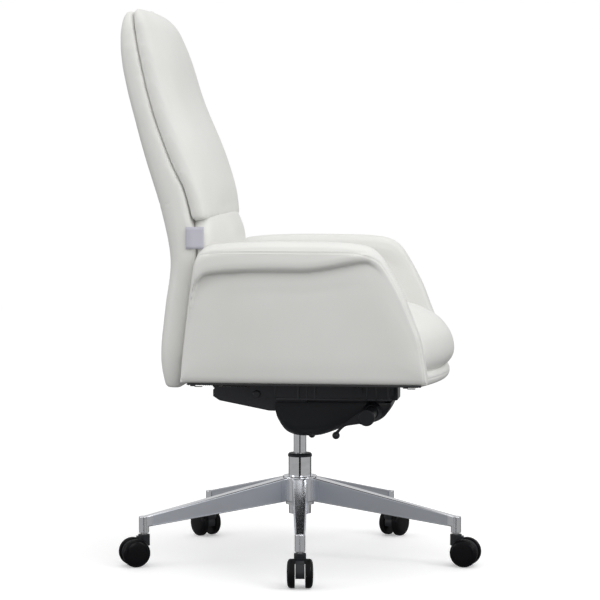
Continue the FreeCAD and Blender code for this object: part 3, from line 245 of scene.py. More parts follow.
def leather(name, color, deep):
    recipe = Recipe(name, color, 0.42, specular=0.42)
    place = recipe.place()
    cells = recipe.add("TexVoronoi", Vector=place, Scale=820.0)
    cells.feature = "DISTANCE_TO_EDGE"
    pebbles = recipe.ramp(cells.outputs["Distance"], 0.0, 0.22, 0.0, 1.0)
    creases = recipe.add("TexNoise", Vector=place, Scale=95.0, Detail=3.0, Roughness=0.6)
    slow = recipe.add("TexNoise", Vector=place, Scale=6.0, Detail=2.0)
    height = recipe.add("Math")
    height.operation = "MULTIPLY_ADD"
    recipe.join(pebbles, height.inputs[0])
    height.inputs[1].default_value = 0.55
    recipe.join(creases.outputs["Fac"], height.inputs[2])
    recipe.bump(height.outputs["Value"], 0.10, 0.45)
    recipe.sets(Base_Color=recipe.tint(recipe.ramp(slow.outputs["Fac"], 0.3, 0.7, 0.0, 1.0), deep, color),
                Roughness=recipe.ramp(creases.outputs["Fac"], 0.3, 0.7, 0.37, 0.5))
    return recipe.material


white_leather = leather("white_leather", (0.84, 0.84, 0.815), (0.80, 0.80, 0.772))
print(white_leather.name, len(white_leather.node_tree.nodes), "nodes")

# %% [markdown]
# **Polished aluminium.** The base is die cast. Its top rims, posts and hub are polished bright, and the
# sunk sides of the legs keep a fine brushed grain. One material can tell them apart: the sides are the
# faces that look sideways and lie between the hub and the posts, so the surface's own direction and its
# distance from the column choose the finish.

# %% Polished aluminium


def cast_aluminium(name, inner, outer):
    recipe = Recipe(name, (0.86, 0.86, 0.875), 0.12, metallic=1.0)
    facing = recipe.add("SeparateXYZ", Vector=recipe.add("NewGeometry").outputs["Normal"])
    upright = recipe.add("Math")
    upright.operation = "ABSOLUTE"
    recipe.join(facing.outputs["Z"], upright.inputs[0])
    sideways = recipe.ramp(upright.outputs["Value"], 0.35, 0.6, 1.0, 0.0)
    flat_place = recipe.place((1, 1, 0))
    reach = recipe.add("VectorMath")
    reach.operation = "LENGTH"
    recipe.join(flat_place, reach.inputs[0])
    past_hub = recipe.ramp(reach.outputs["Value"], inner, inner + 0.004, 0.0, 1.0)
    before_post = recipe.ramp(reach.outputs["Value"], outer - 0.004, outer, 1.0, 0.0)
    mask = recipe.add("Math")
    mask.operation = "MULTIPLY"
    recipe.join(past_hub, mask.inputs[0])
    recipe.join(before_post, mask.inputs[1])
    brushed = recipe.add("Math")
    brushed.operation = "MULTIPLY"
    recipe.join(mask.outputs["Value"], brushed.inputs[0])
    recipe.join(sideways, brushed.inputs[1])
    streaks = recipe.add("TexNoise", Vector=recipe.place((60, 60, 2600)), Scale=1.0, Detail=2.0)
    satin = recipe.ramp(streaks.outputs["Fac"], 0.3, 0.7, 0.3, 0.44)
    finish = recipe.add("Mix")
    finish.inputs["A"].default_value = 0.19
    recipe.join(brushed.outputs["Value"], finish.inputs["Factor"])
    recipe.join(satin, finish.inputs["B"])
    recipe.sets(Roughness=finish.outputs["Result"],
                Base_Color=recipe.tint(brushed.outputs["Value"], (0.86, 0.875, 0.91), (0.62, 0.645, 0.70)))
    recipe.bump(streaks.outputs["Fac"], 0.02, 0.35)
    return recipe.material


hub_reach = 0.040
post_reach = 0.336
polished_aluminium = cast_aluminium("polished_aluminium", hub_reach, post_reach)

# %% [markdown]
# **Smaller finishes.** Chrome and turned steel differ only in how rough they are and in their tool marks.
# Moulded plastic has a fine spark texture, and the paint on the mechanism has a soft orange-peel. The
# same helper makes them all: a colour, a roughness that noise moves a little, and a shallow bump.

# %% Smaller finishes


def textured(name, color, roughness, metallic=0.0, scale=900.0, depth=0.03, spread=0.06,
             stretch=(1, 1, 1), shine=0.5):
    """A finish with one grain that moves its colour, its shine and its surface."""
    recipe = Recipe(name, color, roughness, metallic, shine)
    grain = recipe.add("TexNoise", Vector=recipe.place(stretch), Scale=scale, Detail=3.0)
    worn = [min(1.0, c * 1.12 + 0.004) for c in color]
    share = recipe.ramp(grain.outputs["Fac"], 0.35, 0.65, 0.0, 1.0)
    recipe.sets(Base_Color=recipe.tint(share, color, worn),
                Roughness=recipe.ramp(grain.outputs["Fac"], 0.3, 0.7, roughness - spread, roughness + spread))
    recipe.bump(grain.outputs["Fac"], depth, 0.5)
    return recipe.material


finishes = {
    "white_leather": white_leather,
    "polished_aluminium": polished_aluminium,
    "chrome": textured("chrome", (0.86, 0.87, 0.9), 0.08, 1.0, 40.0, 0.002, 0.02, (1, 1, 2)),
    "bright_steel": textured("bright_steel", (0.62, 0.62, 0.64), 0.26, 1.0, 300.0, 0.01, 0.07, (1, 1, 6)),
    "black_plastic": textured("black_plastic", (0.008, 0.0095, 0.013), 0.4, 0.0, 1400.0, 0.03, shine=0.4),
    "wheel_plastic": textured("wheel_plastic", (0.003, 0.003, 0.004), 0.2, 0.0, 600.0, 0.008, shine=0.12),
    "black_paint": textured("black_paint", (0.030, 0.032, 0.039), 0.33, 0.0, 700.0, 0.02),
    "seal_rubber": textured("seal_rubber", (0.02, 0.02, 0.02), 0.7, 0.0, 900.0, 0.02),
    "underside_cloth": textured("underside_cloth", (0.03, 0.03, 0.032), 0.85, 0.0, 1800.0, 0.12),
}
tread = textured("tread_plastic", (0.006, 0.006, 0.007), 0.45, 0.0, 1500.0, 0.03, shine=0.1)
# The ribs get a lighter grey than the black plastic round them: a painted highlight, standing for the light
# that catches their faces.
rib_painted_highlight = textured("ribs_painted_highlight", (0.05, 0.052, 0.06), 0.3, 0.0, 900.0, 0.02)
thread = textured("seam_thread", (0.74, 0.735, 0.70), 0.6, 0.0, 2600.0, 0.08)
piping = textured("black_tape", (0.016, 0.016, 0.018), 0.55, 0.0, 1800.0, 0.05)
print(len(finishes), "finishes so far")

# %% [markdown]
# **Plywood** shows its grain along one direction, so the noise is stretched along it. **The label** is a
# woven satin tape: two crossed waves make the weave. It stays blank.

# %% Plywood and label tape


def plywood():
    recipe = Recipe("plywood", (0.6, 0.46, 0.3), 0.6)
    grain = recipe.add("TexNoise", Vector=recipe.place((90, 6, 90)), Scale=1.0, Detail=5.0)
    share = recipe.ramp(grain.outputs["Fac"], 0.3, 0.7, 0.0, 1.0)
    recipe.sets(Base_Color=recipe.tint(share, (0.46, 0.33, 0.2), (0.66, 0.51, 0.34)))
    recipe.bump(grain.outputs["Fac"], 0.05, 0.5)
    return recipe.material


def woven_tape(name, color, threads=1500.0):
    recipe = Recipe(name, color, 0.6)
    warp = recipe.add("TexWave", Vector=recipe.place(), Scale=threads / 6.28)
    warp.bands_direction = "Z"
    weft = recipe.add("TexWave", Vector=recipe.place(), Scale=threads / 6.28)
    weft.bands_direction = "Y"
    weave = recipe.add("Math")
    weave.operation = "MULTIPLY"
    recipe.join(warp.outputs["Fac"], weave.inputs[0])
    recipe.join(weft.outputs["Fac"], weave.inputs[1])
    darker = tuple(c * 0.86 for c in color)
    recipe.sets(Base_Color=recipe.tint(weave.outputs["Value"], darker, color))
    recipe.bump(weave.outputs["Value"], 0.06, 0.5)
    return recipe.material


finishes["plywood"] = plywood()
finishes["label_tape"] = woven_tape("label_tape", (0.66, 0.655, 0.74))

# %% [markdown]
# ## Finishing the CAD parts
# A CAD part keeps its mesh. Its material slots are filled from the finish that the record names for it,
# and faces that meet at a shallow angle are shaded smooth, which changes how light reads them and no point.

# %% Dress the CAD parts
SHARP_ANGLE = radians(32)
slot_of = {row["node"]: row["material_slot"] for row in frame["record"]["subparts"]}
for node, part in nodes.items():
    part.data.materials.clear()
    part.data.materials.append(finishes[slot_of[node]])
    part.data.polygons.foreach_set("use_smooth", [True] * len(part.data.polygons))
    part.data.set_sharp_from_angle(angle=SHARP_ANGLE)

studio = Recipe("studio_floor", (0.90, 0.90, 0.90), 0.7)
haze = studio.add("TexNoise", Vector=studio.place(), Scale=0.8)
studio.sets(Roughness=studio.ramp(haze.outputs["Fac"], 0.2, 0.8, 0.65, 0.78), Emission_Color=(1, 1, 1, 1),
            Emission_Strength=0.3)
floor.data.materials.append(studio.material)
glow = Recipe("studio_backdrop", (0.0, 0.0, 0.0), 1.0, specular=0.0)
mottle = glow.add("TexNoise", Vector=glow.place(), Scale=0.3)
glow.sets(Emission_Color=glow.tint(mottle.outputs["Fac"], (PALE, PALE, PALE), (PALE + 0.01,) * 3),
          Emission_Strength=1.0)
backdrop.data.materials.append(glow.material)
felt = Recipe("studio_felt", (0.02, 0.02, 0.02), 1.0, specular=0.0)
lint = felt.add("TexNoise", Vector=felt.place(), Scale=30.0)
felt.sets(Roughness=felt.ramp(lint.outputs["Fac"], 0.2, 0.8, 0.9, 1.0))
for card in cards:
    card.data.materials.append(felt.material)
print("dressed", len(nodes), "CAD parts")

# %% [markdown]
# ## Tools for upholstery
# An upholstered part is a closed skin over a row of cross-sections. The outlines are a few chosen points
# with a smooth line through them. All sizes below are millimetres, with `forward` towards the sitter's
# knees, and `spot` turns them into Blender's metres, where forward is -Y.

# %% Outlines and skins
MM = 0.001


def spot(x, forward, height):
    return Vector((x, -forward, height)) * MM


def flowing(points, steps=8):
    """A smooth run through chosen points: a Catmull-Rom line with some steps between each pair."""
    run = []
    for i in range(len(points) - 1):
        before, start = Vector(points[max(i - 1, 0)]), Vector(points[i])
        end, after = Vector(points[i + 1]), Vector(points[min(i + 2, len(points) - 1)])
        for s in range(steps):
            t = s / steps
            run.append(0.5 * (2 * start + (end - before) * t
                              + (2 * before - 5 * start + 4 * end - after) * t ** 2
                              + (3 * start - before - 3 * end + after) * t ** 3))
    return run + [Vector(points[-1])]


def reader(points):
    """Turns an outline that climbs into a function: how far forward it is at a height."""
    run = flowing(points, 12)

    def at_height(height):
        for low, high in zip(run, run[1:]):
            if height <= high.y:
                break
        share = min(1.15, max(-0.15, (height - low.y) / max(high.y - low.y, 1e-6)))
        return low.x + (high.x - low.x) * share

    return at_height


def evenly(ring, count):
    """The same closed ring with its points spread evenly, so that rings can be joined."""
    closed = ring + [ring[0]]
    lengths = [0.0]
    for a, b in zip(closed, closed[1:]):
        lengths.append(lengths[-1] + (Vector(b) - Vector(a)).length)
    even, i = [], 0
    for k in range(count):
        want = lengths[-1] * k / count
        while lengths[i + 1] < want:
            i += 1
        share = (want - lengths[i]) / (lengths[i + 1] - lengths[i])
        even.append(Vector(closed[i]).lerp(Vector(closed[i + 1]), share))
    return even


def skin(name, rings):
    """A closed mesh over rings that have the same number of points."""
    count = len(rings[0])
    faces = []
    for r in range(len(rings) - 1):
        for k in range(count):
            a, b = r * count + k, r * count + (k + 1) % count
            faces.append((a, b, b + count, a + count))
    faces.append(tuple(reversed(range(count))))
    faces.append(tuple(range((len(rings) - 1) * count, len(rings) * count)))
    mesh = bpy.data.meshes.new(name)
    mesh.from_pydata([point for ring in rings for point in ring], [], faces)
    tidy = bmesh.new()
    tidy.from_mesh(mesh)
    bmesh.ops.recalc_face_normals(tidy, faces=tidy.faces)
    tidy.to_mesh(mesh)
    tidy.free()
    piece = bpy.data.objects.new(name, mesh)
    scene.collection.objects.link(piece)
    return piece


print("skin tools ready")

# %% [markdown]
# ## Sewing and stuffing
# Foam pushes leather out until the seams stop it. Blender's cloth does the same with pressure: the mesh is
# rebuilt with even faces and blown up gently for twenty frames without gravity. The raw result also
# wrinkles, and this leather is taut, so only a share of each point's outward move is kept, up to a cap,
# and averaged with its neighbours'.

# %% Stuff a cushion
PRESSURE, SWELL_FRAMES, CALM_PASSES = 4.0, 20, 14


def baked(piece):
    """Applies a piece's modifiers to its mesh."""
    done = bpy.data.meshes.new_from_object(piece.evaluated_get(bpy.context.evaluated_depsgraph_get()))
    piece.modifiers.clear()
    piece.data = done


def rebuilt(piece, voxel, passes):
    """Even faces, with the sharp edges rounded off by smoothing."""
    remesh = piece.modifiers.new("even_faces", "REMESH")
    remesh.mode, remesh.voxel_size = "VOXEL", voxel * MM
    smooth = piece.modifiers.new("round_edges", "SMOOTH")
    smooth.factor, smooth.iterations = 0.5, passes
    baked(piece)


def averaged(values, edges, passes):
    """Averages each point's value with its neighbours' some times, so that wrinkles fade and swells stay."""
    for _ in range(passes):
        total, count = values.copy(), np.ones(len(values))
        for one, other in ((0, 1), (1, 0)):
            np.add.at(total, edges[:, one], values[edges[:, other]])
            np.add.at(count, edges[:, one], 1.0)
        values = total / count
    return values


def numbers(rows, key, wide, kind=float):
    """One property of many mesh rows as an array."""
    flat = np.empty(len(rows) * wide, dtype=kind)
    rows.foreach_get(key, flat)
    return flat.reshape(-1, wide)


def swollen(piece, cap, share):
    """Blows the piece up as cloth, and keeps a share of each point's outward move, at most the cap in mm."""
    start = numbers(piece.data.vertices, "co", 3)
    outward = numbers(piece.data.vertices, "normal", 3)
    cloth = piece.modifiers.new("foam_pressure", "CLOTH")
    cloth.settings.use_pressure = True
    cloth.settings.uniform_pressure_force = PRESSURE
    cloth.settings.effector_weights.gravity = 0.0
    cloth.settings.quality = 4
    cloth.point_cache.frame_start, cloth.point_cache.frame_end = 1, SWELL_FRAMES
    for number in range(1, SWELL_FRAMES + 1):
        scene.frame_set(number)
    baked(piece)
    scene.frame_set(1)
    push = ((numbers(piece.data.vertices, "co", 3) - start) * outward).sum(axis=1)
    edges = numbers(piece.data.edges, "vertices", 2, int)
    push = averaged(np.clip(push * share, 0, cap * MM), edges, CALM_PASSES)
    piece.data.vertices.foreach_set("co", (start + outward * push[:, None]).ravel())
    piece.data.update()


def upholster(piece, body, replaced, voxel=6.0, passes=6, cap=0.0, share=0.5):
    """Turns a skin into a finished leather piece that rides on a body and stands for CAD solids."""
    rebuilt(piece, voxel, passes)
    if cap:
        swollen(piece, cap, share)
    finer = piece.modifiers.new("fine_skin", "SUBSURF")
    finer.levels = finer.render_levels = 1
    baked(piece)
    piece.data.materials.clear()
    piece.data.materials.append(white_leather)
    piece.data.polygons.foreach_set("use_smooth", [True] * len(piece.data.polygons))
    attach(piece, body)
    if replaced:
        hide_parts(*replaced)
    print(piece.name, len(piece.data.vertices), "points")
    return piece


# %% [markdown]
# ## The back
# The back is two upholstered halves with a sunk joint between them: a thin rear shell, and the padded
# front in two parts, the tall upper cushion and the lumbar pad. Seen from the side each has its own curved
# outline, and seen from the front they share one outline that narrows towards a round-cornered top.
# Sections are cut at many heights. Each is a ring with round corners, and the front face is crowned.

# %% Outlines of the back
SHELL_REAR = [(-258, 388), (-267, 450), (-256, 550), (-243, 655), (-262, 757), (-302, 881),
              (-344, 1030), (-357, 1120), (-352, 1178)]
BACK_SEAM = [(-222, 388), (-189, 660), (-199, 734), (-216, 802), (-242, 854), (-286, 968), (-318, 1093),
             (-334, 1182)]
FRONT_FACE = [(-168, 430), (-148, 560), (-140, 690), (-155, 775), (-187, 884), (-232, 992), (-264, 1096),
              (-290, 1160), (-322, 1192)]
SIDE_WIDTH = [(226, 388), (236, 470), (237, 700), (225, 900), (205, 1080), (194, 1130), (192, 1200)]
TOP_CORNER = 60.0
rear_at, seam_at = reader(SHELL_REAR), reader(BACK_SEAM)
front_at, width_at = reader(FRONT_FACE), reader(SIDE_WIDTH)


def round_corner_ring(half, rear, front, rear_round, front_round, crown, rear_crown=0.0):
    """(x, forward) points of one section through the back, crowned towards the front."""
    edge = front - crown
    depth = edge - rear
    rear_round, front_round = min(rear_round, depth * 0.49), min(front_round, depth * 0.49)
    ring = []
    for sign_x, sign_f, radius, start in ((1, 1, front_round, 0), (-1, 1, front_round, 90),
                                          (-1, -1, rear_round, 180), (1, -1, rear_round, 270)):
        middle_x = sign_x * (half - radius)
        middle_f = (edge if sign_f > 0 else rear) - sign_f * radius
        for step in range(7):
            angle = radians(start + 90 * step / 6)
            ring.append((middle_x + radius * cos(angle), middle_f + radius * sin(angle)))
    even = []
    for x, forward in evenly(ring, 96):
        share = (forward - rear) / depth
        bulge = 1 - min(1.0, abs(x) / half) ** 2
        ahead = crown * bulge * max(0, 2 * share - 1)
        behind = rear_crown * bulge * max(0, 1 - 2 * share)
        even.append((x, forward + ahead - behind))
    return even


def levels(low, high, low_round, high_round, step=14.0):
    """Heights from low to high, each with how far its section is drawn in by the round ends."""
    rows = []
    for k in range(7):
        angle = pi / 2 * k / 6
        rows.append((low + low_round * (1 - cos(angle)), low_round * (1 - sin(angle))))
    count = int((high - high_round - low - low_round) / step)
    for k in range(1, count):
        rows.append((low + low_round + (high - high_round - low - low_round) * k / count, 0.0))
    for k in range(7):
        angle = pi / 2 * k / 6
        rows.append((high - high_round * (1 - sin(angle)), high_round * (1 - cos(angle))))
    return rows


def back_half_width(height, top):
    """Half the back's width, following the round corners at the top."""
    over = max(0.0, height - (top - TOP_CORNER))
    return width_at(height) - (TOP_CORNER - sqrt(max(0.0, TOP_CORNER ** 2 - over ** 2))) * 0.9


def back_part(name, low, high, rear_line, front_line, crown, rounds, ends, inset, slope=0.0, rear_crown=0.0):
    rings = []
    for height, drawn in levels(low, high, *ends):
        rear, front = rear_line(height) + inset, front_line(height) - inset
        pinch = min(drawn, (front - rear) * 0.46)
        half = back_half_width(height, high) - inset - drawn * 0.8
        face = max(crown * (1 - drawn / 30), 0) if crown else 0
        face = min(face, (front - rear) * 0.4)
        ring = round_corner_ring(half, rear + pinch, front - pinch, *rounds, face, rear_crown)
        fade = max(0.0, 1 - (height - low) / 60) if slope > 0 else max(0.0, 1 - (high - height) / 60)
        rings.append([spot(x, f, height + abs(slope) * fade * (f - rear_line(height))) for x, f in ring])
    return skin(name, rings)


back_shell = back_part("back_shell_cover", 389, 1180, rear_at, seam_at, 0, (24, 7), (6, 10), 1.0,
                       rear_crown=5.0)
upholster(back_shell, "back", ["back_shell"], 6.0, 4, 5, 0.3)

# %% [markdown]
# The front cushions are drawn a little small, because the stuffing swells them. Their split runs a little
# uphill towards the front. They reach a few millimetres into each other, so that it closes to a crease.

# %% Front cushions
SPLIT, OVERLAP = 742.0, 6
upper = back_part("back_cushion_cover", SPLIT - OVERLAP, 1192, seam_at, front_at, 26, (8, 44), (7, 22), 1.5,
                  slope=0.2)
upholster(upper, "back", ["back_cushion"], 6.0, 4, 12, 0.4)
lumbar = back_part("lumbar_cushion_cover", 437, SPLIT + OVERLAP, seam_at, front_at, 22, (8, 34), (18, 6), 1.5,
                   slope=-0.2)
upholster(lumbar, "back", ["lumbar_cushion"], 6.0, 4, 10, 0.4)

# %% [markdown]
# ## The seat
# The cushion is a waterfall seat: its front swells out over a thin base and drops away round the knees.
# Its outline is drawn from the side and swept across the chair, and it is drawn in towards both sides,
# where it lies against the arms. The base under it is a plain upholstered board.

# %% Seat cushion and its base
CUSHION_BASE = 421.5
CUSHION_TOP = [(-131, 3), (-131, 60), (-126, 112), (-90, 124), (20, 129), (140, 131), (225, 127), (283, 109),
               (313, 82), (325, 52), (325, 26), (310, 5), (292, 1)]
SEAT_WIDTH = 241.0


def swept(name, outline, half, end_round, lift=0.0, count=120, bow=(8.0, 50.0)):
    """A side outline swept across the chair, drawn in at both ends, its front bowed forward in the middle."""
    ring = evenly([tuple(p) for p in outline], count)
    middle = sum((p for p in ring), Vector((0, 0))) / count
    inward = []
    for k in range(count):
        run = ring[(k + 1) % count] - ring[k - 1]
        normal = Vector((run.y, -run.x)).normalized()
        inward.append(normal if normal.dot(middle - ring[k]) > 0 else -normal)
    stops = [(-half + end_round * (1 - cos(pi / 2 * k / 6)), end_round * (1 - sin(pi / 2 * k / 6)))
             for k in range(7)]
    inner = half - end_round
    stops += [(-inner + 2 * inner * k / 16, 0.0) for k in range(1, 16)]
    stops += [(-x, drawn) for x, drawn in reversed(stops[:7])]
    top = max(p.y for p in ring)
    low = min(p.y for p in ring)
    rings = []
    for x, drawn in stops:
        side = (abs(x) / half) ** 2
        row = []
        for point, normal in zip(ring, inward):
            moved = point + normal * drawn
            share = (moved.y - low) / (top - low)
            ahead = max(0.0, (moved.x - 200) / 125)
            row.append(spot(x, moved.x + (bow[0] - bow[1] * side) * ahead, moved.y - lift * side * share))
        rings.append(row)
    return skin(name, rings)


cushion_line = [(f, CUSHION_BASE + h) for f, h in flowing(CUSHION_TOP, 6)]
cushion = swept("seat_cushion_cover", cushion_line, SEAT_WIDTH, 20, lift=9)
upholster(cushion, "seat", ["seat_cushion"], 6.0, 6, 10, 0.4)


def padded_copy(name, node, voxel, passes, body):
    """A copy of a CAD solid with its edges rounded, its front corners drawn back and a leather skin."""
    piece = bpy.data.objects.new(name, nodes[node].data.copy())
    scene.collection.objects.link(piece)
    for vertex in piece.data.vertices:
        ahead = max(0.0, (-vertex.co.y / MM - 200) / 116)
        vertex.co.y += 52 * (vertex.co.x / MM / 240) ** 2 * ahead * MM
    return upholster(piece, body, [node], voxel, passes)


padded_copy("seat_base_cover", "seat_surround", 3.5, 6, "seat")

# %% [markdown]
# The base ends in front in a soft roll. It is a round bar of foam in the same leather, so it is swept
# across the chair like the cushion, over a small outline with generous corners.

# %% Front roll
LIP_LINE = [(262, 427), (300, 427.5), (310, 425), (316, 418), (317, 410), (314, 402), (306, 397.5),
            (280, 397), (262, 399)]
lip = swept("seat_front_roll", flowing(LIP_LINE, 5), 264, 7, count=72)
upholster(lip, "seat", [], 3.0, 3)

# %% [markdown]
# ## The arms
# Each arm is one upholstered frame. A rolled pad caps it and hangs over the outside, and towards the
# front the roll melts into the band that runs down the front edge. A swept outline can't do that, so the
# arm is built from upright sections along its length: the points of each section move from a plain
# board to a board with a roll, by a share that fades out at both ends.

# %% Arms
ARM_IN, ARM_OUT = 248.5, 300.0
ARM_FLOOR = 405.0
ARM_TOP = [(-212, 408), (-207, 470), (-197, 560), (-187, 630), (-181, 660), (-170, 679), (-146, 691),
           (-60, 697), (40, 697.5), (120, 696), (168, 690), (194, 676), (214, 650), (246, 591),
           (266, 540), (281, 500), (293, 435), (296, 408)]
ROLL_OUT, ROLL_IN, ROLL_DEPTH, ROLL_RISE = 18.0, 10.0, 60.0, 29.0


def roll_share(forward):
    """How much of the roll is there at a place along the arm: none at the ends, all in the middle."""
    rise = min(1.0, max(0.0, (forward + 198) / 24))
    fall = min(1.0, max(0.0, (215 - forward) / 75))
    return (rise * rise * (3 - 2 * rise)) * (fall * fall * (3 - 2 * fall))


def arm_section(forward, top):
    """(x, height) points round one upright section, on the sitter's left."""
    tall = top - ARM_FLOOR
    fit = min(1.0, tall / 110)
    roll = roll_share(forward)
    out, into = ROLL_OUT * roll, ROLL_IN * roll
    lip = top - fit * (ROLL_DEPTH - ROLL_RISE * min(1.0, max(0.0, (forward - 40) / 135)) ** 1.6)
    low = ARM_FLOOR
    points = [(ARM_OUT - 14, low), (ARM_OUT - 4, low + 2 * fit), (ARM_OUT, low + 12 * fit)]
    for k in range(1, 8):
        points.append((ARM_OUT + 1.5 * sin(pi * k / 8), low + 12 * fit + (lip - low - 16 * fit) * k / 8))
    points += [(ARM_OUT - 1.5 * roll, lip - 1 * fit), (ARM_OUT - 3.5 * roll, lip + 3.5 * fit),
               (ARM_OUT + out * 0.25, lip + 0.5 * fit), (ARM_OUT + out * 0.7, lip + 1.5 * fit),
               (ARM_OUT + out * 0.95, lip + 7 * fit), (ARM_OUT + out, lip + 16 * fit),
               (ARM_OUT + out * 0.94 - 1, top - 22 * fit), (ARM_OUT + out * 0.7 - 3, top - 10 * fit),
               (ARM_OUT + out * 0.3 - 8, top - 3.5 * fit), (ARM_OUT - 18, top - 0.8 * fit)]
    middle = (ARM_OUT + ARM_IN) / 2
    points.append((middle, top))
    points += [(ARM_IN + 14, top - 0.8 * fit), (ARM_IN + 5 - into * 0.3, top - 4 * fit),
               (ARM_IN + 1 - into * 0.8, top - 12 * fit), (ARM_IN - into, top - 26 * fit),
               (ARM_IN - into * 0.7, top - 40 * fit), (ARM_IN - into * 0.1, top - 54 * fit)]
    for k in range(1, 8):
        points.append((ARM_IN, top - 54 * fit - (tall - 66 * fit) * k / 8))
    points += [(ARM_IN, low + 10 * fit), (ARM_IN + 4, low + 2 * fit), (ARM_IN + 14, low)]
    return points


def make_arm(side, sign):
    rings = []
    for forward, top in flowing(ARM_TOP, 5):
        section = arm_section(forward, max(top, ARM_FLOOR + 6))
        rings.append([spot(sign * x, forward, height) for x, height in section])
    arm = skin(f"arm_cover_{side}", rings)
    return upholster(arm, "seat", [f"arm_panel_{side}", f"arm_pad_{side}"], 3.2, 3, 5, 0.2)


arms = {side: make_arm(side, sign) for side, sign in (("left", 1), ("right", -1))}

# %% [markdown]
# ## Seams
# A sewn seam is a dent with thread in it. Stitches are short beads of thread laid along a line. To sit on
# the stuffed leather they are dropped onto it: a ray is cast from outside the piece along a direction, and
# where it hits tells both the place and the slope of the surface.

# %% Stitching
STITCH_LENGTH, STITCH_STEP, STITCH_THICK = 3.6, 5.0, 0.55


def landing(tree, start, direction):
    place, normal, _, _ = tree.ray_cast(start, direction)
    return (place, normal) if place is not None else None


def surface_run(piece, starts, direction):
    """Drops a row of points onto a piece, and gives the place and slope of each hit."""
    tree = BVHTree.FromObject(piece, bpy.context.evaluated_depsgraph_get())
    return [hit for hit in (landing(tree, start, direction) for start in starts) if hit]


def bead(mesh, middle, along, up, length, width, thick):
    """One stitch: a stretched six-sided bead lying on the leather."""
    side = along.cross(up).normalized()
    rows = []
    for t, swell in ((-0.5, 0.25), (-0.32, 0.9), (0.32, 0.9), (0.5, 0.25)):
        row = []
        for k in range(6):
            angle = 2 * pi * k / 6
            offset = side * cos(angle) * width * swell + up * sin(angle) * thick * swell
            row.append(mesh.verts.new(middle + along * t * length + offset))
        rows.append(row)
    for a, b in zip(rows, rows[1:]):
        for k in range(6):
            mesh.faces.new((a[k], a[(k + 1) % 6], b[(k + 1) % 6], b[k]))
    mesh.faces.new(list(reversed(rows[0])))
    mesh.faces.new(rows[-1])


def stitch_rows(name, body, runs):
    """Rows of stitches, each along its own run of surface points."""
    mesh = bmesh.new()
    for run in runs:
        travelled = 0.0
        for (a, normal), (b, _) in zip(run, run[1:]):
            gap = (b - a).length
            if gap > 30 * MM or gap == 0:
                continue
            travelled += gap
            if travelled >= STITCH_STEP * MM:
                travelled = 0.0
                along = (b - a).normalized()
                bead(mesh, b + normal * 0.15 * MM, along, normal, STITCH_LENGTH * MM, STITCH_THICK * MM,
                     STITCH_THICK * 0.8 * MM)
    return finished(name, mesh, body, thread)


def finished(name, mesh, body, material):
    """Turns a bmesh into a piece with a finish, riding on a body."""
    bmesh.ops.recalc_face_normals(mesh, faces=mesh.faces)
    data = bpy.data.meshes.new(name)
    mesh.to_mesh(data)
    mesh.free()
    data.materials.append(material)
    data.polygons.foreach_set("use_smooth", [True] * len(data.polygons))
    piece = bpy.data.objects.new(name, data)
    scene.collection.objects.link(piece)
    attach(piece, body)
    print(name, len(data.vertices), "points")
    return piece


def between(low, high, step):
    count = max(2, int(abs(high - low) / step))
    return [low + (high - low) * k / count for k in range(count + 1)]


# %% [markdown]
# The arm pad has a double row of stitches along its outside, just above the widest part of the roll.

# %% Arm stitching
for side, sign in (("left", 1), ("right", -1)):
    rows = []
    for height in (672.5, 678.5):
        starts = [spot(sign * 340, f, height) for f in between(-150, 150, 1.0)]
        rows.append(surface_run(arms[side], starts, Vector((-sign, 0, 0))))
    stitch_rows(f"arm_stitches_{side}", "seat", rows)

# %% [markdown]
# The panel on the outside of each arm is sewn to the band that runs over the pad and down the front. That
# seam is a groove pressed into the leather with a thin welt in it. The groove moves the arm's own points
# inwards near the seam line, by less the further they are from it.

# %% Grooves and welts


def groove(piece, run, depth, wide):
    """Presses a soft-sided groove into a piece along a run of surface points, sizes in mm."""
    tree = KDTree(len(run))
    for number, (place, _) in enumerate(run):
        tree.insert(place, number)
    tree.balance()
    normals = [v.normal.copy() for v in piece.data.vertices]
    for vertex, normal in zip(piece.data.vertices, normals):
        _, _, distance = tree.find(vertex.co)
        if distance < 3 * wide * MM:
            vertex.co -= normal * depth * MM * exp(-(distance / (wide * MM)) ** 2)


def welt(name, runs, body, radius, material, sink=0.0):
    """A thin round cord laid along runs of surface points."""
    mesh = bmesh.new()
    for run in runs:
        spaced = run[::2] if len(run) > 40 else run
        before = None
        for number, (place, normal) in enumerate(spaced):
            ahead = spaced[min(number + 1, len(spaced) - 1)][0] - spaced[max(number - 1, 0)][0]
            along = ahead.normalized()
            side = along.cross(normal).normalized()
            centre = place - normal * sink * MM
            ring = []
            for k in range(8):
                around = side * cos(2 * pi * k / 8) + normal * sin(2 * pi * k / 8)
                ring.append(mesh.verts.new(centre + around * radius * MM))
            if before:
                for k in range(8):
                    mesh.faces.new((before[k], before[(k + 1) % 8], ring[(k + 1) % 8], ring[k]))
            else:
                mesh.faces.new(ring[::-1])
            before = ring
        mesh.faces.new(before)
    return finished(name, mesh, body, material)


ARM_SEAM = [(290, 410), (288, 436), (276, 500), (261, 540), (240, 590), (210, 642), (192, 661), (168, 670.5),
            (140, 675), (60, 675.5), (-60, 675.5), (-150, 673), (-176, 664), (-184, 640), (-196, 560),
            (-204, 480), (-208, 412)]
run = []
for x in between(-235, 235, 1.5):
    run += surface_run(lip, [spot(x, 420, 412.5)], Vector((0, 1, 0)))
groove(lip, run, 1.0, 1.6)
for side, sign in (("left", 1), ("right", -1)):
    starts = [spot(sign * 340, f, z) for f, z in flowing(ARM_SEAM, 40)]
    run = surface_run(arms[side], starts, Vector((-sign, 0, 0)))
    groove(arms[side], run, 1.1, 1.9)
    run = surface_run(arms[side], starts, Vector((-sign, 0, 0)))
    welt(f"arm_welt_{side}", [run], "seat", 0.6, white_leather, 0.45)

# %% [markdown]
# The rear shell is sewn from two hides. Their joint runs straight across the back and curves up on both
# sides, where it meets the long sunk joint.

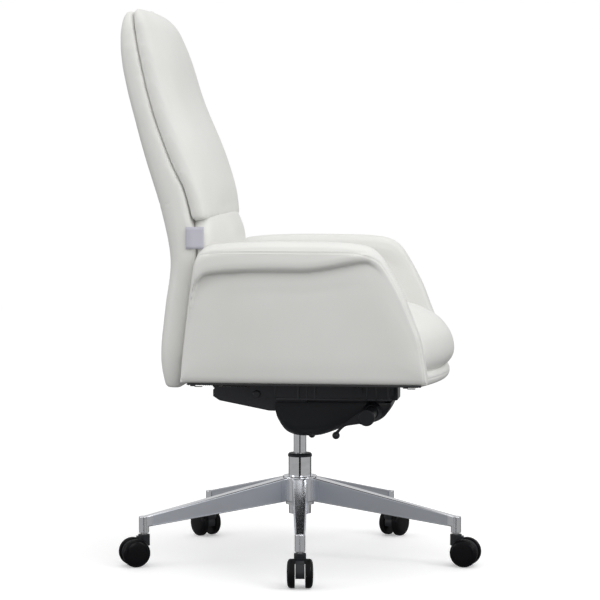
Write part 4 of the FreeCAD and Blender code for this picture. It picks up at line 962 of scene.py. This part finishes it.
# %% Seam across the shell
SHELL_SEAM_HEIGHT, SHELL_SEAM_RISE = 772.0, 76.0
run = []
for x in between(-212, 212, 2.0):
    run += surface_run(back_shell, [spot(x, -420, SHELL_SEAM_HEIGHT)], Vector((0, -1, 0)))
sides = []
for sign in (-1, 1):
    starts = []
    for step in range(31):
        angle = pi / 2 * step / 30
        height = SHELL_SEAM_HEIGHT + SHELL_SEAM_RISE * (1 - cos(angle))
        starts.append(spot(sign * 300, -252 + 22 * sin(angle), height))
    sides.append(surface_run(back_shell, starts, Vector((-sign, 0, 0))))
run = sides[0][::-1] + run + sides[1]
groove(back_shell, run, 0.9, 2.2)

# %% [markdown]
# ## Casters
# A caster wheel is turned on a lathe in the mould maker's shop, so we turn it here too: a half section,
# spun round the axle. The tread has three fine grooves, the rim is rounded and catches the light, and the
# outer face is a shallow dome with a small step round it. The axle's place and direction come from the
# joint that the wheels turn on.

# %% Turned wheels
SPIN_STEPS = 72
WHEEL_SECTION = [(0.0, 10.4), (4.2, 10.4), (26.0, 10.4), (28.6, 10.6), (29.6, 11.4), (29.95, 12.4),
                 (29.95, 13.4), (29.4, 13.7), (29.4, 14.2), (29.95, 14.5), (29.95, 15.8), (29.4, 16.1),
                 (29.4, 16.6), (29.95, 16.9), (29.95, 18.2), (29.4, 18.5), (29.4, 19.0), (29.9, 19.3),
                 (29.7, 20.4), (29.2, 21.6), (28.4, 22.8), (27.4, 23.8), (26.4, 24.4), (25.9, 24.3),
                 (25.4, 24.8), (23.0, 25.7), (18.0, 26.5), (10.0, 26.9), (4.0, 27.0), (0.0, 27.0)]
TREAD_ROWS = range(3, 18)


def turn(mesh, middle, axle, section, tread_rows=()):
    """Spins a section of (radius, along) points, in mm, about an axle and adds it to a bmesh."""
    ahead = axle.cross(Vector((0, 0, 1))).normalized()
    up = ahead.cross(axle).normalized()
    rings = []
    for radius, along in section:
        centre = middle + axle * along * MM
        if radius == 0:
            rings.append([mesh.verts.new(centre)])
            continue
        ring = []
        for k in range(SPIN_STEPS):
            angle = 2 * pi * k / SPIN_STEPS
            ring.append(mesh.verts.new(centre + (ahead * cos(angle) + up * sin(angle)) * radius * MM))
        rings.append(ring)
    for number, (a, b) in enumerate(zip(rings, rings[1:])):
        for k in range(SPIN_STEPS):
            j = (k + 1) % SPIN_STEPS
            if len(a) == 1:
                corners = (a[0], b[j], b[k])
            elif len(b) == 1:
                corners = (a[k], a[j], b[0])
            else:
                corners = (a[k], a[j], b[j], b[k])
            mesh.faces.new(corners).material_index = 1 if number in tread_rows else 0


def turned_wheels(index):
    joint = joints[f"caster_roll_{index}"]
    middle, axle = Vector(joint["pos_m"]), Vector(joint["axis"]).normalized()
    mesh = bmesh.new()
    for sign in (1, -1):
        turn(mesh, middle, axle, [(radius, sign * along) for radius, along in WHEEL_SECTION], TREAD_ROWS)
    wheels = finished(f"caster_wheel_pair_{index}", mesh, f"wheels_{index}", finishes["wheel_plastic"])
    wheels.data.materials.append(tread)
    wheels.data.set_sharp_from_angle(angle=radians(40))
    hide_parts(f"caster_wheels_{index}")


for index in range(1, 6):
    turned_wheels(index)

# %% [markdown]
# ## The mechanism's bowl
# Under the seat a moulded bowl hides the springs. Its walls are thin and its belly flows from a flat floor
# into sloping ends. Sections across it are U-shaped, and a smooth line through a few stations gives their
# depth, so the bowl has no flat facets. Thickness comes from the Solidify modifier, which copies the skin
# inwards, just as the mould's two halves leave a wall between them.

# %% Bowl
bowl_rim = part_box("mechanism_cover")[1].z / MM
BOWL_LINE = [(-45, 322), (-40, 305), (-24, 283), (-2, 273.5), (22, 272), (50, 274), (78, 283), (104, 293),
             (140, 299), (170, 304), (190, 317), (203, 338)]
BOWL_WALL = 2.4


def bowl_half(forward):
    """Half the bowl's width: full in the middle, drawn in towards the nose."""
    nose = max(0.0, (forward - 120) / 85)
    return 69.5 - 9 * nose ** 2


def bowl_section(forward, low, steps=7):
    half, top = bowl_half(forward), bowl_rim
    corner = min(24.0, (top - low) * 0.6)
    points = [(-half, top), (-half, (top + low + corner) / 2), (-half, low + corner)]
    for k in range(1, steps + 1):
        angle = pi / 2 * k / steps
        points.append((-half + corner * (1 - cos(angle)), low + corner * (1 - sin(angle))))
    points += [(-half * 0.3, low), (half * 0.3, low)]
    return points + [(-x, z) for x, z in reversed(points[:-2])]


def make_bowl():
    mesh = bmesh.new()
    rows = []
    for forward, low in flowing(BOWL_LINE, 5):
        rows.append([mesh.verts.new(spot(x, forward, z)) for x, z in bowl_section(forward, low)])
    for a, b in zip(rows, rows[1:]):
        for k in range(len(a) - 1):
            mesh.faces.new((a[k], a[k + 1], b[k + 1], b[k]))
    mesh.faces.new(list(reversed(rows[-1])))
    bowl = finished("tilt_bowl", mesh, "mechanism", finishes["black_plastic"])
    wall = bowl.modifiers.new("moulded_wall", "SOLIDIFY")
    wall.thickness, wall.offset = BOWL_WALL * MM, -1.0
    rim = bowl.modifiers.new("soft_rim", "BEVEL")
    rim.width, rim.segments, rim.limit_method, rim.angle_limit = 0.8 * MM, 2, "ANGLE", radians(50)
    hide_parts("mechanism_cover")
    return bowl


make_bowl()

# %% [markdown]
# Moulded plastic is stiffened with ribs, and a rod that comes through a wall has a raised boss round it.
# The ribs are bars with soft edges on the outside of the seat plate's skirts, and the bosses are turned.

# %% Ribs and bosses
SKIRT_X, SKIRT_LOW, SKIRT_HIGH = 64.0, 351.0, 397.0
RIB_PLACES = [(-46, 2.0, 1.2), (4, 5.0, 2.4), (22, 3.0, 1.4), (40, 4.0, 2.4), (152, 3.0, 1.6),
              (172, 3.0, 1.6), (198, 5.0, 2.4)]   # forward, wide and proud


def soft_bar(mesh, low, high):
    """A box between two corners in mm: (x, forward, height)."""
    corners = [spot(x, f, z) for x in (low[0], high[0]) for f in (low[1], high[1]) for z in (low[2], high[2])]
    v = [mesh.verts.new(corner) for corner in corners]
    for ring in ((0, 1, 3, 2), (4, 6, 7, 5), (0, 4, 5, 1), (2, 3, 7, 6), (0, 2, 6, 4), (1, 5, 7, 3)):
        mesh.faces.new([v[i] for i in ring])


def softened(piece, radius):
    bevel = piece.modifiers.new("soft_edges", "BEVEL")
    bevel.width, bevel.segments = radius * MM, 3
    piece.data.polygons.foreach_set("use_smooth", [False] * len(piece.data.polygons))
    baked(piece)
    piece.data.polygons.foreach_set("use_smooth", [True] * len(piece.data.polygons))
    piece.data.set_sharp_from_angle(angle=radians(50))


mesh = bmesh.new()
for sign in (1, -1):
    for forward, wide, proud in RIB_PLACES:
        xs = sorted((sign * (SKIRT_X - 1), sign * (SKIRT_X + proud)))
        soft_bar(mesh, (xs[0], forward - wide / 2, SKIRT_LOW), (xs[1], forward + wide / 2, SKIRT_HIGH))
    xs = sorted((sign * (SKIRT_X - 1), sign * (SKIRT_X + 1.6)))
    soft_bar(mesh, (xs[0], -44, SKIRT_LOW - 0.5), (xs[1], 205, SKIRT_LOW + 3.5))
# The ribs wear the lighter rib finish, which is a painted highlight on their faces.
ribs = finished("skirt_ribs", mesh, "seat", rib_painted_highlight)
softened(ribs, 0.5)

BOSS_SECTION = [(13.6, 60.0), (22.0, 60.0), (21.0, 66.0), (18.6, 71.0), (16.6, 78.0), (16.0, 80.0),
                (15.2, 80.8), (13.6, 80.8), (13.6, 60.0)]
mesh = bmesh.new()
for joint, sign in (("height_lever_turn", -1), ("lock_lever_turn", 1)):
    pivot = Vector(joints[joint]["pos_m"])
    turn(mesh, Vector((0, pivot.y, pivot.z)), Vector((sign, 0, 0)), BOSS_SECTION)
bosses = finished("lever_bosses", mesh, "mechanism", finishes["black_plastic"])
bosses.data.set_sharp_from_angle(angle=radians(40))

# %% [markdown]
# ## Small details
# The sewn covers close with zips under the arms, and a blank folded tag is sewn into the joint of the
# back. They are small, but an empty place where the eye expects them reads as unfinished.

# %% Label tag
tag_low, tag_high = (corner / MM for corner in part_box("back_label"))


def folded_tag():
    """A tape folded over its end: two layers with a soft bend, sewn in at its rear edge."""
    mesh = bmesh.new()
    outer = tag_low.x - 1.5
    front, rear = -tag_low.y + 9, -tag_high.y - 3
    columns = []
    for k in range(13):
        t = k / 12
        forward = rear + (front - rear) * t
        wave = 1.6 * sin(pi * t) + 0.8 * sin(2.4 * pi * t)
        columns.append((outer - wave, forward))
    thick = 0.5
    grid = []
    for layer in (0, 1):
        rows = []
        for height in between(tag_low.z, tag_high.z, 6):
            rows.append([mesh.verts.new(spot(x - layer * thick, f, height)) for x, f in columns])
        grid.append(rows)
    for layer, rows in enumerate(grid):
        for low, high in zip(rows, rows[1:]):
            for k in range(len(columns) - 1):
                mesh.faces.new((low[k], low[k + 1], high[k + 1], high[k]))
    inner, outside = grid
    border = [(r, 0) for r in range(len(inner))] + [(len(inner) - 1, k) for k in range(1, len(columns))]
    border += [(r, len(columns) - 1) for r in range(len(inner) - 2, -1, -1)]
    border += [(0, k) for k in range(len(columns) - 2, 0, -1)]
    for (r0, k0), (r1, k1) in zip(border, border[1:] + border[:1]):
        mesh.faces.new((inner[r0][k0], inner[r1][k1], outside[r1][k1], outside[r0][k0]))
    tag = finished("back_tag", mesh, "back", finishes["label_tape"])
    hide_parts("back_label")


folded_tag()

# %% [markdown]
# A zip closes each arm cover from below: a strip of black tape with a row of teeth, and a small pull at both
# ends that hangs just under the edge.

# %% Zips
ZIP_X, ZIP_HEIGHT, ZIP_REAR, ZIP_FRONT = 294.0, 404.0, -198.0, 284.0
TOOTH_STEP, SLIDERS = 4.0, (-186, 252)


def make_zip(side, sign):
    """The tape, its teeth, and at both ends a slider with its pull."""
    mesh = bmesh.new()
    middle, z = sign * ZIP_X, ZIP_HEIGHT
    soft_bar(mesh, (middle - 5, ZIP_REAR, z - 1.2), (middle + 5, ZIP_FRONT, z + 2))
    for forward in between(ZIP_REAR + 3, ZIP_FRONT - 3, TOOTH_STEP):
        soft_bar(mesh, (middle - 2, forward - 1.0, z - 2.2), (middle + 2, forward + 1.0, z - 1.0))
    for forward in SLIDERS:
        soft_bar(mesh, (middle - 3, forward - 5, z - 4), (middle + 3, forward + 5, z - 1))
        soft_bar(mesh, (middle - 2.5, forward + 4, z - 5.5), (middle + 2.5, forward + 20, z - 4))
    zip_tape = finished(f"arm_zip_{side}", mesh, "seat", piping)
    softened(zip_tape, 0.3)


for side, sign in (("left", 1), ("right", -1)):
    make_zip(side, sign)
